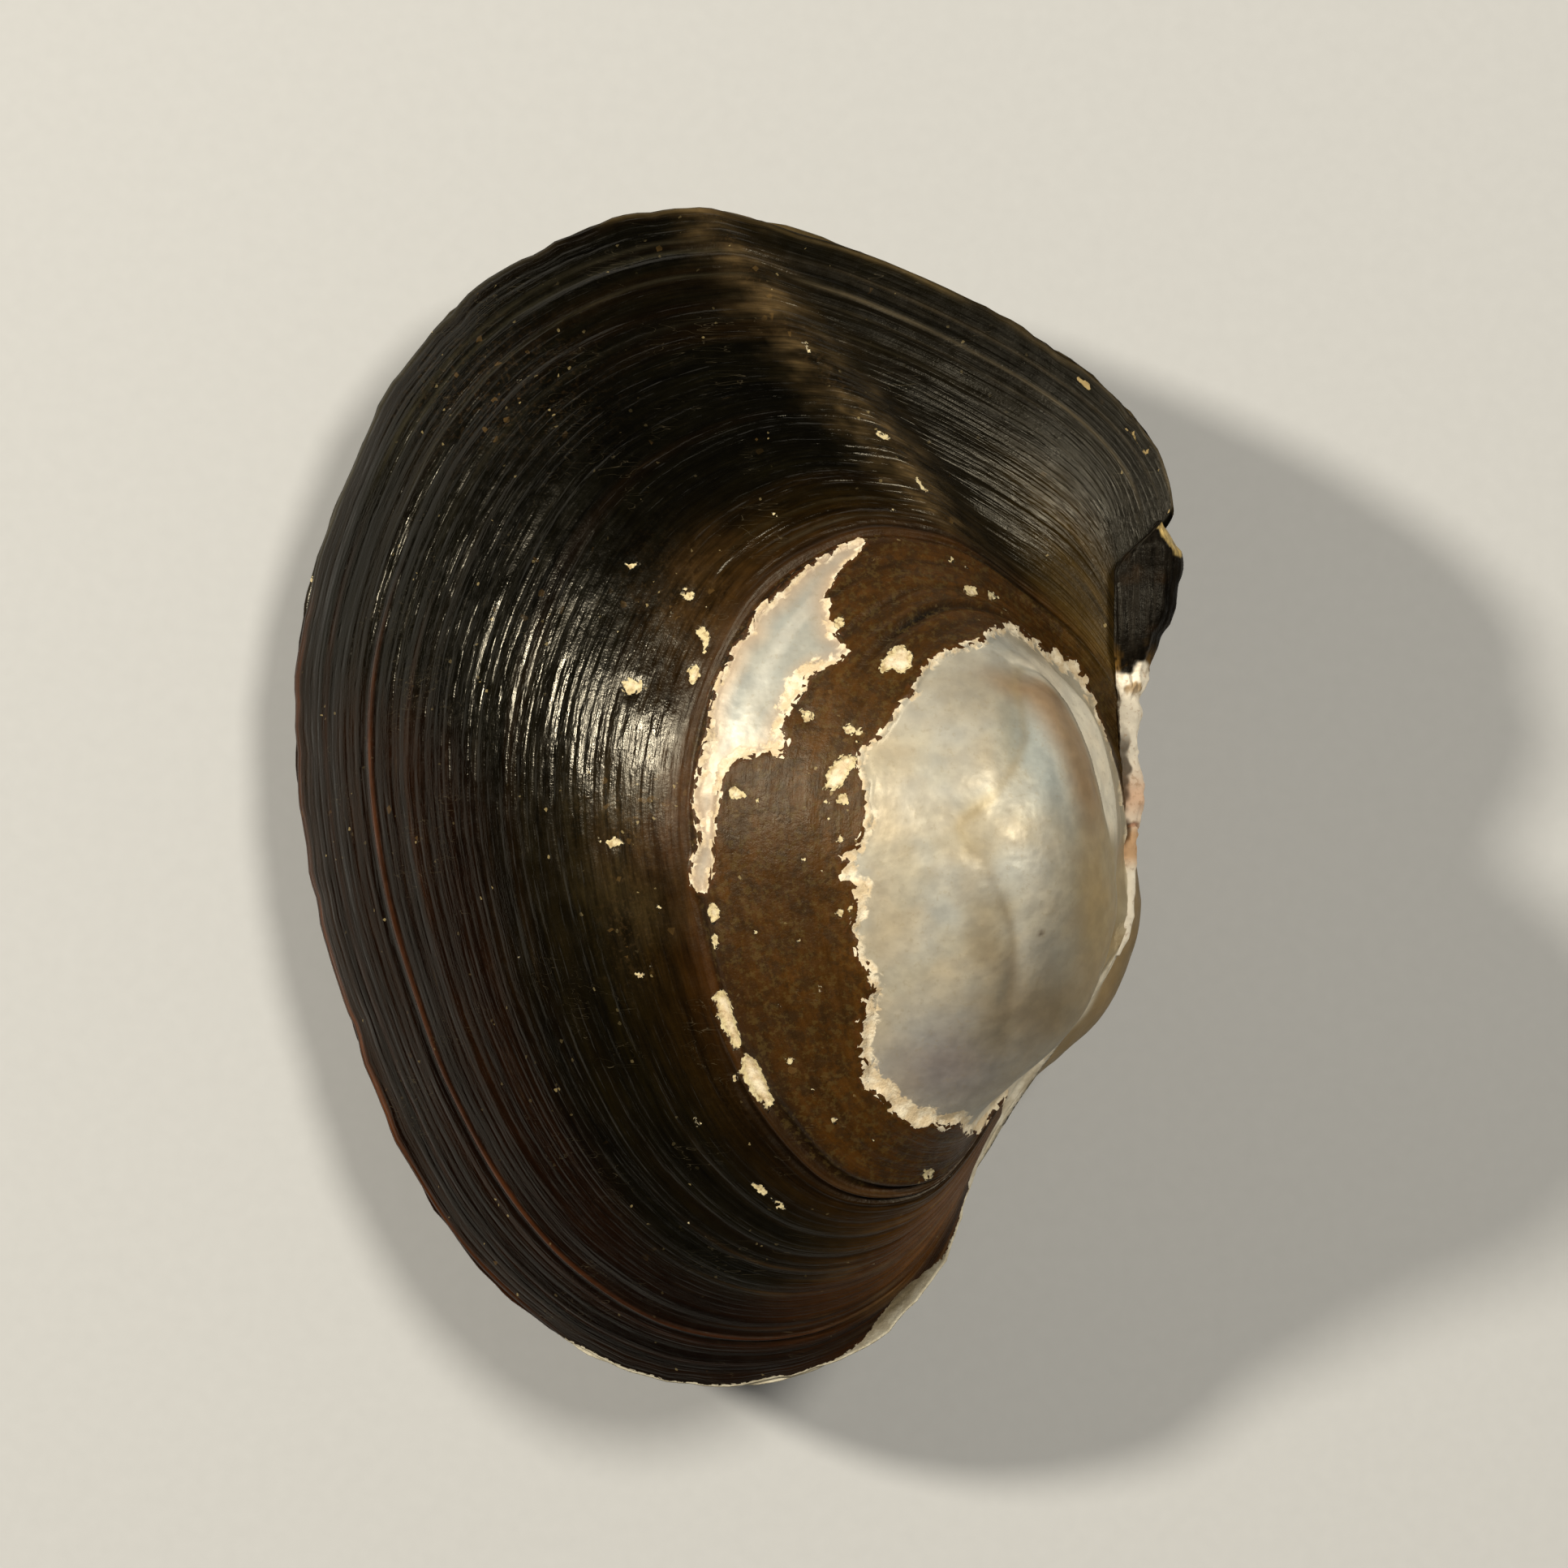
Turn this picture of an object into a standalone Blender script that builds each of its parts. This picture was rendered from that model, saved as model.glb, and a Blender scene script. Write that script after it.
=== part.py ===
"""A closed river-mussel shell: two valves joined along the hinge by a horny ligament, lying on the left valve.

Shell axes before it is laid down: +X dorsal (hinge side), +Y posterior, Z across the two valves. The plane Z = 0
is where the valves meet, the hinge axis is the Y axis and both beaks are at the origin. Each valve is a growth
series: every growth line is an outline that swings about the hinge axis as the animal grows, so the outlines of a
large and a small shell and one swing law give the whole surface.
"""

import math

import bmesh
import bpy
import numpy as np
from mathutils import Matrix, Vector
from mathutils.bvhtree import BVHTree

# ---- driving dimensions -------------------------------------------------------------------------------------
LENGTH = 0.080  # front to back, the longest way across the shell
UNIT = LENGTH / 80.0  # metres for each millimetre below, where the outlines are those of a shell 80 mm long
SWING_STEP = 0.15  # log of the size between one value of SWING and the next
RING_SIZE = 0.56  # size, against the full shell, of the strong growth stop halfway out
HINGE_ROUND = 0.35  # rounding of the dorsal edge
SEAM = 0.15  # half of the gap between the closed valves
WALL = 1.9  # shell wall
RIM = 1.5  # flat rim round the valve's opening
HINGE_PLATE = 3.6  # width of the thick rim along the hinge
REST_FLAT_DEPTH = 0.12  # how much is worn flat where the lower valve touches the ground
LIGAMENT_FRONT = 3.2
LIGAMENT_BACK = 26.2
LIGAMENT_HALF_WIDTH = 2.0

# the shell at rest: it is turned by these angles about X and then Y, and raised until it touches the ground
LIE_ABOUT_X = -0.4
LIE_ABOUT_Y = -16.3

ROWS = 30  # growth lines in the solid
COLUMNS = 46  # points along each growth line
CAVITY_RINGS = 7
CAVITY_SPOKES = 34

# how far, in degrees, the growth lines have swung about the hinge axis at the full size and at ever smaller sizes:
# slowly over the outer half, fast over the crown of the umbo, and no further along the wall down to the beak. In
# front they swing less, so that the umbo leans forward.
SWING = [0, 8, 16, 24, 32.5, 42.5, 56, 71, 80, 85, 88, 89.5, 90.5, 90.5, 90, 88.5, 87, 85, 83.5, 82, 80.5]
SWING_FRONT = [0, 7, 14, 20.5, 26.5, 32, 37.5, 43, 48.5, 53.5, 57.5, 60, 61, 61.5, 61.5, 61, 61, 60.5, 60.5, 60, 60]

# the margin of the full shell, from the beak forward, round the lower edge, and back along the hinge, as
# (distance from the hinge axis, distance behind the beak)
MARGIN = [
    (0.1, -0.5), (1.1, -3.5), (3.7, -7.2), (6.3, -10.4), (8.9, -13.8), (10.6, -17.4), (11.5, -22.1), (14.6, -26.9),
    (20.8, -31.0), (27.8, -31.7), (34.9, -30.6), (41.5, -26.3), (46.7, -20.9), (50.9, -12.8), (54.0, -3.8), (56.0, 4.9),
    (57.0, 13.1), (56.4, 19.9), (54.5, 27.0), (51.4, 34.4), (47.0, 40.7), (41.0, 45.1), (34.4, 47.6), (28.4, 48.3),
    (22.1, 46.4), (15.3, 43.8), (8.2, 40.4), (2.2, 36.4), (-1.4, 32.7), (-2.9, 29.5), (-3.1, 27.2),
]
# the growth stop halfway out, swung back flat, with a point for each point of the margin
RING = [
    (0.0, -0.5), (0.5, -2.0), (1.5, -4.5), (3.5, -7.5), (6.0, -11.0), (8.5, -14.0), (11.0, -16.0), (13.5, -18.0),
    (16.5, -18.5), (20.5, -18.0), (23.5, -15.5), (26.5, -12.0), (28.5, -8.0), (30.0, -4.0), (31.0, 0.0), (32.0, 4.5),
    (32.0, 8.0), (31.5, 12.0), (30.0, 15.5), (28.5, 18.5), (26.0, 21.5), (23.0, 23.5), (19.5, 25.0), (16.5, 25.0),
    (13.0, 24.5), (10.0, 23.0), (7.0, 21.0), (4.5, 19.5), (2.5, 17.5), (1.0, 15.5), (0.0, 14.0),
]


# ---- growth series ------------------------------------------------------------------------------------------
def second_derivatives(points):
    """Second derivatives, at the points, of the natural cubic spline through evenly numbered points."""
    n = len(points)
    system = np.eye(n)
    right = np.zeros(points.shape)
    for i in range(1, n - 1):
        system[i, i - 1 : i + 2] = (1.0, 4.0, 1.0)
        right[i] = 6.0 * (points[i - 1] - 2.0 * points[i] + points[i + 1])
    return np.linalg.solve(system, right)


def spline(points, bends, at):
    """The spline at places 0 to 1 along it."""
    x = np.clip(np.asarray(at, float), 0.0, 1.0) * (len(points) - 1)
    i = np.clip(np.floor(x).astype(int), 0, len(points) - 2)
    f = (x - i)[..., None]
    g = 1.0 - f
    return g * points[i] + f * points[i + 1] + ((g**3 - g) * bends[i] + (f**3 - f) * bends[i + 1]) / 6.0


def softened(points):
    """The outline with small jogs between neighbouring points evened out; its two ends stay."""
    out = points.copy()
    out[1:-1] = 0.2 * points[:-2] + 0.6 * points[1:-1] + 0.2 * points[2:]
    return out


def growth_outlines():
    margin = softened(np.array(MARGIN))
    ring = softened(np.array(RING))
    wing = np.minimum(margin[:, 0], 0.0)
    margin[:, 0] = np.maximum(margin[:, 0], 0.0)
    share = RING_SIZE**2
    young = (ring / RING_SIZE - share * margin) / (1.0 - share)
    return margin, young, np.stack([wing, wing], 1)


MARGIN_POINTS, YOUNG_POINTS, WING_POINTS = growth_outlines()
MARGIN_BENDS = second_derivatives(MARGIN_POINTS)
YOUNG_BENDS = second_derivatives(YOUNG_POINTS)
WING_BENDS = second_derivatives(WING_POINTS)
SWING_POINTS = np.radians(np.stack([SWING, SWING_FRONT], 1))
SWING_BENDS = second_derivatives(SWING_POINTS)


def ease(x, low, high):
    f = np.clip((x - low) / (high - low), 0.0, 1.0)
    return f * f * (3.0 - 2.0 * f)


def soft_positive(v):
    return HINGE_ROUND * np.logaddexp(0.0, v / HINGE_ROUND)


def swing(size, along):
    """Swing of the growth lines about the hinge axis."""
    steps = SWING_STEP * (len(SWING) - 1)
    both = spline(SWING_POINTS, SWING_BENDS, -np.log(np.maximum(size, 1e-4)) / steps)
    front = 1.0 - ease(along, 0.15, 0.5)
    return (1.0 - front) * both[..., 0] + front * both[..., 1]


def gauss(x, middle, width):
    return np.exp(-(((x - middle) / width) ** 2))


def fuller_umbo(points):
    """Lets the umbo stand out over the hollow in front of the beak."""
    x, y, z = points[..., 0], points[..., 1], points[..., 2]
    seam = np.array(MARGIN[:8])
    inward = -0.8 * (x + np.interp(-y, -seam[:, 1], seam[:, 0]))
    out = 1.0 * gauss(y, -4.6, 5.4) * gauss(z, 10.0, 3.4)
    drawn = (0.75 * gauss(y, -2.0, 4.5) + 1.75 * gauss(y, -11.5, 4.6)) * gauss(z, 4.2, 3.4)
    shift = (out - drawn) * (1.0 - ease(inward, 4.0, 10.0)) * ease(z, SEAM, 1.2)
    return points + shift[..., None] * np.array([0.8, -0.6, 0.0])


def valve_surface(size, along):
    """Points of the right valve, in millimetres, on growth lines of these sizes at these places along them."""
    size = np.asarray(size, float)
    along = np.asarray(along, float)
    share = (size**2)[..., None]
    flat = size[..., None] * (
        (1.0 - share) * spline(YOUNG_POINTS, YOUNG_BENDS, along) + share * spline(MARGIN_POINTS, MARGIN_BENDS, along)
    )
    v, u = flat[..., 0], flat[..., 1]
    wing = spline(WING_POINTS, WING_BENDS, along)[..., 0] * ease(size, 0.86, 1.0)
    turn = swing(size, along)
    x = -(soft_positive(v) * np.cos(turn) - soft_positive(-v) + wing)
    z = soft_positive(v) * np.sin(turn) + SEAM
    return fuller_umbo(np.stack([x, u, z], -1))


# ---- laying the shell down ----------------------------------------------------------------------------------
def laid_down(offset=(0.0, 0.0, 0.0)):
    turn = Matrix.Rotation(math.radians(LIE_ABOUT_Y), 4, "Y") @ Matrix.Rotation(math.radians(LIE_ABOUT_X), 4, "X")
    return Matrix.Translation(Vector(offset)) @ turn


# ---- meshes -------------------------------------------------------------------------------------------------
def new_object(name, bm, collection, smooth_angle=None):
    mesh = bpy.data.meshes.new(name)
    bm.to_mesh(mesh)
    bm.free()
    if smooth_angle is not None:
        mesh.shade_smooth()
        mesh.set_sharp_from_angle(angle=math.radians(smooth_angle))
    obj = bpy.data.objects.new(name, mesh)
    collection.objects.link(obj)
    return obj


def grid_parameters(bm, columns, rows):
    """A grid of faces whose vertices get parameters 0 to 1 both ways."""
    bmesh.ops.create_grid(bm, x_segments=columns, y_segments=rows, size=1.0)
    verts = list(bm.verts)
    where = np.array([(0.5 + 0.5 * v.co.x, 0.5 + 0.5 * v.co.y) for v in verts])
    return verts, where[:, 0], where[:, 1]


def size_rows(place):
    """Growth-line sizes, closer together where the umbo curves most."""
    return place * (0.55 + 0.45 * place)


def outer_skin(side):
    """The outer surface of one valve: side is 1 for the right valve and -1 for the left."""
    bm = bmesh.new()
    verts, along, place = grid_parameters(bm, COLUMNS, ROWS)
    points = valve_surface(size_rows(place), along)
    edge = (place > 1 - 1e-6) | (place < 1e-6) | (along > 1 - 1e-6) | (along < 1e-6)
    points[edge, 2] = SEAM
    points[place < 1e-6] = points[place < 1e-6].mean(axis=0)
    points[:, 2] *= side
    for vert, point in zip(verts, points):
        vert.co = point * UNIT
    bmesh.ops.remove_doubles(bm, verts=bm.verts, dist=1e-6)
    return bm


def face_outwards(bm):
    bmesh.ops.recalc_face_normals(bm, faces=bm.faces)
    if bm.calc_volume(signed=True) < 0:
        bmesh.ops.reverse_faces(bm, faces=bm.faces)


def valve_solid(name, side, collection):
    """The valve as a solid dome, closed by a flat face in the plane where the valves meet."""
    bm = outer_skin(side)
    bmesh.ops.holes_fill(bm, edges=[e for e in bm.edges if e.is_boundary], sides=0)
    face_outwards(bm)
    return new_object(name, bm, collection, 40.0)


def rim_outline(count):
    """Evenly turned points on the inner edge of the rim, as seen from the centre of the opening."""
    along = np.linspace(0.0, 1.0, 600)
    edge = np.concatenate([valve_surface(np.ones(600), along), valve_surface(np.linspace(0.97, 0.02, 90), np.ones(90))])
    edge = edge[:, :2]
    centre = np.array([-25.0, 7.0])
    ahead = np.roll(edge, -6, axis=0) - np.roll(edge, 6, axis=0)
    ahead /= np.linalg.norm(ahead, axis=1)[:, None] + 1e-9
    inward = np.stack([-ahead[:, 1], ahead[:, 0]], 1)
    inward *= np.sign(((centre - edge) * inward).sum(1))[:, None]
    width = RIM + (HINGE_PLATE - RIM) * ease(edge[:, 0], -9.0, -1.0)
    ring = edge + inward * width[:, None] - centre
    angle = np.arctan2(ring[:, 1], ring[:, 0])
    reach = np.linalg.norm(ring, axis=1)
    turned = np.arange(count) * 2.0 * math.pi / count - math.pi
    out = []
    for a in turned:
        near = np.abs((angle - a + math.pi) % (2.0 * math.pi) - math.pi) < 0.07
        r = reach[near].min() if near.any() else np.interp(a, np.sort(angle), reach[np.argsort(angle)])
        out.append(centre + r * np.array([math.cos(a), math.sin(a)]))
    return centre, np.array(out)


def cavity_cutter(name, side, collection):
    """The room inside one valve: the outer surface moved in by the wall, down through the flat rim."""
    skin = outer_skin(1)
    tree = BVHTree.FromBMesh(skin)
    skin.free()
    centre, rim = rim_outline(CAVITY_SPOKES)
    bm = bmesh.new()
    verts, around, place = grid_parameters(bm, CAVITY_SPOKES, CAVITY_RINGS + 1)
    last = CAVITY_RINGS / (CAVITY_RINGS + 1.0)
    for vert, a, p in zip(verts, around, place):
        spoke = rim[int(round(a * CAVITY_SPOKES)) % CAVITY_SPOKES]
        out = min(p / last, 1.0)
        xy = centre + (spoke - centre) * math.sin(0.5 * math.pi * out)
        if p > 1 - 1e-6:
            z = -3.0
        else:
            hit, normal, _, _ = tree.ray_cast(Vector((*xy, -5.0)) * UNIT, Vector((0, 0, 1)))
            z = -1.0 if hit is None else hit.z / UNIT - WALL / max(abs(normal.z), 0.42)
            while z > -1.0 and tree.find_nearest(Vector((*xy, z)) * UNIT)[3] < 0.8 * WALL * UNIT:
                z -= 0.25  # beside a steep wall
            z = max(z, -1.5)
        vert.co = Vector((xy[0], xy[1], z * side)) * UNIT
    bmesh.ops.remove_doubles(bm, verts=bm.verts, dist=1e-6)
    bmesh.ops.holes_fill(bm, edges=[e for e in bm.edges if e.is_boundary], sides=0)
    face_outwards(bm)
    return new_object(name, bm, collection)


def hinge_edge():
    """Distance above the hinge axis of the valves' dorsal edge, at places behind the beak."""
    line = valve_surface(np.linspace(0.02, 1.0, 200), np.ones(200))
    return line[:, 1], line[:, 0]


def ligament_crest(y):
    """Height of the ligament's back: low and worn in front, a raised dark band behind."""
    low = 1.05
    back = ease(y, 14.6, 17.2) * (1.0 + 0.9 * ease(y, 16.5, 23.5)) * 1.45
    end = 1.0 - 0.55 * ease(y, 24.6, LIGAMENT_BACK) - 0.35 * (1.0 - ease(y, LIGAMENT_FRONT, LIGAMENT_FRONT + 1.4))
    return (low + back) * end


def ligament_solid(name, collection):
    """A loft of arched sections along the hinge, its flat underside clear of the valves' dorsal edges."""
    bm = bmesh.new()
    steps, around = 22, 14
    verts, turn, place = grid_parameters(bm, around, steps)
    edge_y, edge_x = hinge_edge()
    for vert, a, p in zip(verts, turn, place):
        y = LIGAMENT_FRONT + (LIGAMENT_BACK - LIGAMENT_FRONT) * p
        under = np.interp(y, edge_y, edge_x) + 0.3
        top = max(ligament_crest(y), under + 0.45)
        wide = LIGAMENT_HALF_WIDTH * (0.55 + 0.45 * ease(y, 13.5, 18.0)) * (1.0 - 0.45 * ease(y, 24.0, LIGAMENT_BACK))
        angle = 2.0 * math.pi * a
        c, s = math.cos(angle), math.sin(angle)
        z = wide * math.copysign(abs(c) ** 0.8, c)
        x = under + (top - under) * s**0.9 if s > 0 else under
        vert.co = Vector((x, y, z)) * UNIT
    bmesh.ops.remove_doubles(bm, verts=bm.verts, dist=1e-7)
    bmesh.ops.holes_fill(bm, edges=[e for e in bm.edges if e.is_boundary], sides=0)
    face_outwards(bm)
    return new_object(name, bm, collection, 50.0)


def material(name, colour, roughness, metallic=0.0):
    made = bpy.data.materials.new(name)
    made.use_nodes = True
    shader = made.node_tree.nodes["Principled BSDF"]
    shader.inputs["Base Color"].default_value = (*colour, 1.0)
    shader.inputs["Roughness"].default_value = roughness
    shader.inputs["Metallic"].default_value = metallic
    return made


def cut(obj, cutter):
    modifier = obj.modifiers.new("cut " + cutter.name, "BOOLEAN")
    modifier.operation = "DIFFERENCE"
    modifier.solver = "EXACT"
    modifier.object = cutter


def helper(obj):
    obj.hide_render = True
    obj.display_type = "WIRE"
    return obj


def main():
    for obj in list(bpy.data.objects):
        bpy.data.objects.remove(obj, do_unlink=True)
    scene = bpy.context.scene
    shell = bpy.data.collections.new("mussel_shell")
    cutters = bpy.data.collections.new("cutters")
    scene.collection.children.link(shell)
    scene.collection.children.link(cutters)

    horn_brown = material("periostracum", (0.045, 0.030, 0.016), 0.32)
    horn_black = material("ligament_horn", (0.022, 0.018, 0.015), 0.40)

    right = valve_solid("right_valve", 1, shell)
    left = valve_solid("left_valve", -1, shell)
    ligament = ligament_solid("hinge_ligament", shell)
    right_room = helper(cavity_cutter("right_cavity", 1, cutters))
    left_room = helper(cavity_cutter("left_cavity", -1, cutters))

    # the shell is turned to lie on its left valve, with the middle of its box over the origin
    turned = laid_down()
    points = np.array([turned @ v.co for obj in (right, left, ligament) for v in obj.data.vertices])
    low, high = points.min(axis=0), points.max(axis=0)
    floor = low[2] + REST_FLAT_DEPTH * 0.001
    placed = laid_down((-0.5 * (low[0] + high[0]), -0.5 * (low[1] + high[1]), -floor))
    for obj in (right, left, ligament, right_room, left_room):
        obj.data.transform(placed)

    # the worn flat under the left valve
    bpy.ops.mesh.primitive_cube_add(size=1.0, location=(0.0, 0.0, -0.005))
    ground = helper(bpy.context.active_object)
    ground.name = "rest_flat_cutter"
    ground.scale = (0.2, 0.2, 0.01)
    for collection in list(ground.users_collection):
        collection.objects.unlink(ground)
    cutters.objects.link(ground)

    cut(right, right_room)
    cut(left, left_room)
    cut(left, ground)
    right.data.materials.append(horn_brown)
    left.data.materials.append(horn_brown)
    ligament.data.materials.append(horn_black)
    bpy.context.view_layer.update()


main()
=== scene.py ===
"""Looks of the closed mussel shell: two fine-meshed valves with their growth lines, worn pearly umbones and flecks,
and the horny ligament, on a pale floor in soft studio light.

The valves follow the same growth series as the CAD solids, at a much finer spacing. Markings are placed one by one: a
marking's outline is given where it is seen in a frame 1932 units wide, and is brought onto the surface from there.
Shell axes: +X dorsal, +Y posterior, Z across the two valves, millimetres, both beaks at the origin.
"""

import math

import bpy
import numpy as np
from mathutils import Matrix, Vector

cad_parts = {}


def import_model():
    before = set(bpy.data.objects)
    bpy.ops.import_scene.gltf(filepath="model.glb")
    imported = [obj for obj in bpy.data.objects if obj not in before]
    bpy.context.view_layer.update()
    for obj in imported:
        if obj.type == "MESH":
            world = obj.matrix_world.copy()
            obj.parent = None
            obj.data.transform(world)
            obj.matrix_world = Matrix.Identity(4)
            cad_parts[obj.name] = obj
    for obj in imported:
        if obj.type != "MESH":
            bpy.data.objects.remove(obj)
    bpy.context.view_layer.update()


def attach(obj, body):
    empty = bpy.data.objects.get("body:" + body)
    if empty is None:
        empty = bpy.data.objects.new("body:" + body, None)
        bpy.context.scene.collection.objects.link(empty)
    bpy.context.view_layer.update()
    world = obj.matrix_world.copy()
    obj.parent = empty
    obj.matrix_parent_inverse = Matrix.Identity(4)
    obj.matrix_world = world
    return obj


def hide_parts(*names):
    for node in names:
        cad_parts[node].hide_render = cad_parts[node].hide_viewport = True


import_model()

# ---- the growth series, as in the CAD part --------------------------------------------------------------------
RING_SIZE = 0.56
HINGE_ROUND = 0.35
SEAM = 0.15
WALL = 1.9
SWING_STEP = 0.15
SWING = [0, 8, 16, 24, 32.5, 42.5, 56, 71, 80, 85, 88, 89.5, 90.5, 90.5, 90, 88.5, 87, 85, 83.5, 82, 80.5]
SWING_FRONT = [0, 7, 14, 20.5, 26.5, 32, 37.5, 43, 48.5, 53.5, 57.5, 60, 61, 61.5, 61.5, 61, 61, 60.5, 60.5, 60, 60]
MARGIN = [
    (0.1, -0.5), (1.1, -3.5), (3.7, -7.2), (6.3, -10.4), (8.9, -13.8), (10.6, -17.4), (11.5, -22.1), (14.6, -26.9),
    (20.8, -31.0), (27.8, -31.7), (34.9, -30.6), (41.5, -26.3), (46.7, -20.9), (50.9, -12.8), (54.0, -3.8), (56.0, 4.9),
    (57.0, 13.1), (56.4, 19.9), (54.5, 27.0), (51.4, 34.4), (47.0, 40.7), (41.0, 45.1), (34.4, 47.6), (28.4, 48.3),
    (22.1, 46.4), (15.3, 43.8), (8.2, 40.4), (2.2, 36.4), (-1.4, 32.7), (-2.9, 29.5), (-3.1, 27.2),
]
RING = [
    (0.0, -0.5), (0.5, -2.0), (1.5, -4.5), (3.5, -7.5), (6.0, -11.0), (8.5, -14.0), (11.0, -16.0), (13.5, -18.0),
    (16.5, -18.5), (20.5, -18.0), (23.5, -15.5), (26.5, -12.0), (28.5, -8.0), (30.0, -4.0), (31.0, 0.0), (32.0, 4.5),
    (32.0, 8.0), (31.5, 12.0), (30.0, 15.5), (28.5, 18.5), (26.0, 21.5), (23.0, 23.5), (19.5, 25.0), (16.5, 25.0),
    (13.0, 24.5), (10.0, 23.0), (7.0, 21.0), (4.5, 19.5), (2.5, 17.5), (1.0, 15.5), (0.0, 14.0),
]
# where the CAD shell lies: its axes turned about X and Y, then moved, in millimetres
LIE_ABOUT_X, LIE_ABOUT_Y = -0.4, -16.3
MOVED = (25.298, -8.274, 23.677)


def second_derivatives(points):
    n = len(points)
    system = np.eye(n)
    right = np.zeros(points.shape)
    for i in range(1, n - 1):
        system[i, i - 1 : i + 2] = (1.0, 4.0, 1.0)
        right[i] = 6.0 * (points[i - 1] - 2.0 * points[i] + points[i + 1])
    return np.linalg.solve(system, right)


def spline(points, bends, at):
    x = np.clip(np.asarray(at, float), 0.0, 1.0) * (len(points) - 1)
    i = np.clip(np.floor(x).astype(int), 0, len(points) - 2)
    f = (x - i)[..., None]
    g = 1.0 - f
    return g * points[i] + f * points[i + 1] + ((g**3 - g) * bends[i] + (f**3 - f) * bends[i + 1]) / 6.0


def softened(points):
    out = points.copy()
    out[1:-1] = 0.2 * points[:-2] + 0.6 * points[1:-1] + 0.2 * points[2:]
    return out


def growth_outlines():
    margin = softened(np.array(MARGIN))
    ring = softened(np.array(RING))
    wing = np.minimum(margin[:, 0], 0.0)
    margin[:, 0] = np.maximum(margin[:, 0], 0.0)
    share = RING_SIZE**2
    young = (ring / RING_SIZE - share * margin) / (1.0 - share)
    return margin, young, np.stack([wing, wing], 1)


MARGIN_POINTS, YOUNG_POINTS, WING_POINTS = growth_outlines()
MARGIN_BENDS = second_derivatives(MARGIN_POINTS)
YOUNG_BENDS = second_derivatives(YOUNG_POINTS)
WING_BENDS = second_derivatives(WING_POINTS)
SWING_POINTS = np.radians(np.stack([SWING, SWING_FRONT], 1))
SWING_BENDS = second_derivatives(SWING_POINTS)


def ease(x, low, high):
    f = np.clip((np.asarray(x, float) - low) / (high - low), 0.0, 1.0)
    return f * f * (3.0 - 2.0 * f)


def soft_positive(v):
    return HINGE_ROUND * np.logaddexp(0.0, v / HINGE_ROUND)


def swing(size, along):
    steps = SWING_STEP * (len(SWING) - 1)
    both = spline(SWING_POINTS, SWING_BENDS, -np.log(np.maximum(size, 1e-4)) / steps)
    front = 1.0 - ease(along, 0.15, 0.5)
    return (1.0 - front) * both[..., 0] + front * both[..., 1]


def gauss(x, middle, width):
    return np.exp(-(((x - middle) / width) ** 2))


def fuller_umbo(points):
    """Lets the umbo stand out over the hollow in front of the beak."""
    x, y, z = points[..., 0], points[..., 1], points[..., 2]
    seam = np.array(MARGIN[:8])
    inward = -0.8 * (x + np.interp(-y, -seam[:, 1], seam[:, 0]))
    out = 1.0 * gauss(y, -4.6, 5.4) * gauss(z, 10.0, 3.4)
    drawn = (0.75 * gauss(y, -2.0, 4.5) + 1.75 * gauss(y, -11.5, 4.6)) * gauss(z, 4.2, 3.4)
    shift = (out - drawn) * (1.0 - ease(inward, 4.0, 10.0)) * ease(z, SEAM, 1.2)
    return points + shift[..., None] * np.array([0.8, -0.6, 0.0])


def valve_surface(size, along):
    size = np.asarray(size, float)
    along = np.asarray(along, float)
    share = (size**2)[..., None]
    flat = size[..., None] * (
        (1.0 - share) * spline(YOUNG_POINTS, YOUNG_BENDS, along) + share * spline(MARGIN_POINTS, MARGIN_BENDS, along)
    )
    v, u = flat[..., 0], flat[..., 1]
    wing = spline(WING_POINTS, WING_BENDS, along)[..., 0] * ease(size, 0.86, 1.0)
    turn = swing(size, along)
    x = -(soft_positive(v) * np.cos(turn) - soft_positive(-v) + wing)
    z = soft_positive(v) * np.sin(turn) + SEAM
    return fuller_umbo(np.stack([x, u, z], -1))


# ---- where things are -----------------------------------------------------------------------------------------
TURN = np.array(
    (Matrix.Rotation(math.radians(LIE_ABOUT_Y), 3, "Y") @ Matrix.Rotation(math.radians(LIE_ABOUT_X), 3, "X"))
)


def world(points):
    """Shell millimetres to the row frame's metres."""
    return (np.asarray(points, float) @ TURN.T + np.array(MOVED)) * 0.001


FRAME_WIDE = 1932.0
UNIT_MM = 80.0 / 1465.0  # millimetres to one unit of the frame, at the plane where the valves meet
VIEW_DISTANCE = 400.0
VIEW_TO_DORSAL, VIEW_TO_FRONT = math.radians(7.0), math.radians(2.0)
BACK = np.array(
    [
        math.sin(VIEW_TO_DORSAL) * math.cos(VIEW_TO_FRONT),
        -math.sin(VIEW_TO_FRONT),
        math.cos(VIEW_TO_DORSAL) * math.cos(VIEW_TO_FRONT),
    ]
)
RIGHT = np.cross((0.0, 1.0, 0.0), BACK)
RIGHT /= np.linalg.norm(RIGHT)
UP = np.cross(BACK, RIGHT)
CENTRE = np.array([(966.0 - 1390.0) * UNIT_MM, (1130.0 - 966.0) * UNIT_MM, 0.0])
EYE = CENTRE + BACK * VIEW_DISTANCE


def seen(points):
    """Where shell points are seen in the 1932-unit frame."""
    q = np.asarray(points, float) - CENTRE
    near = VIEW_DISTANCE / (VIEW_DISTANCE - q @ BACK) / UNIT_MM
    return np.stack([966.0 + (q @ RIGHT) * near, 966.0 - (q @ UP) * near], -1)


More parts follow.
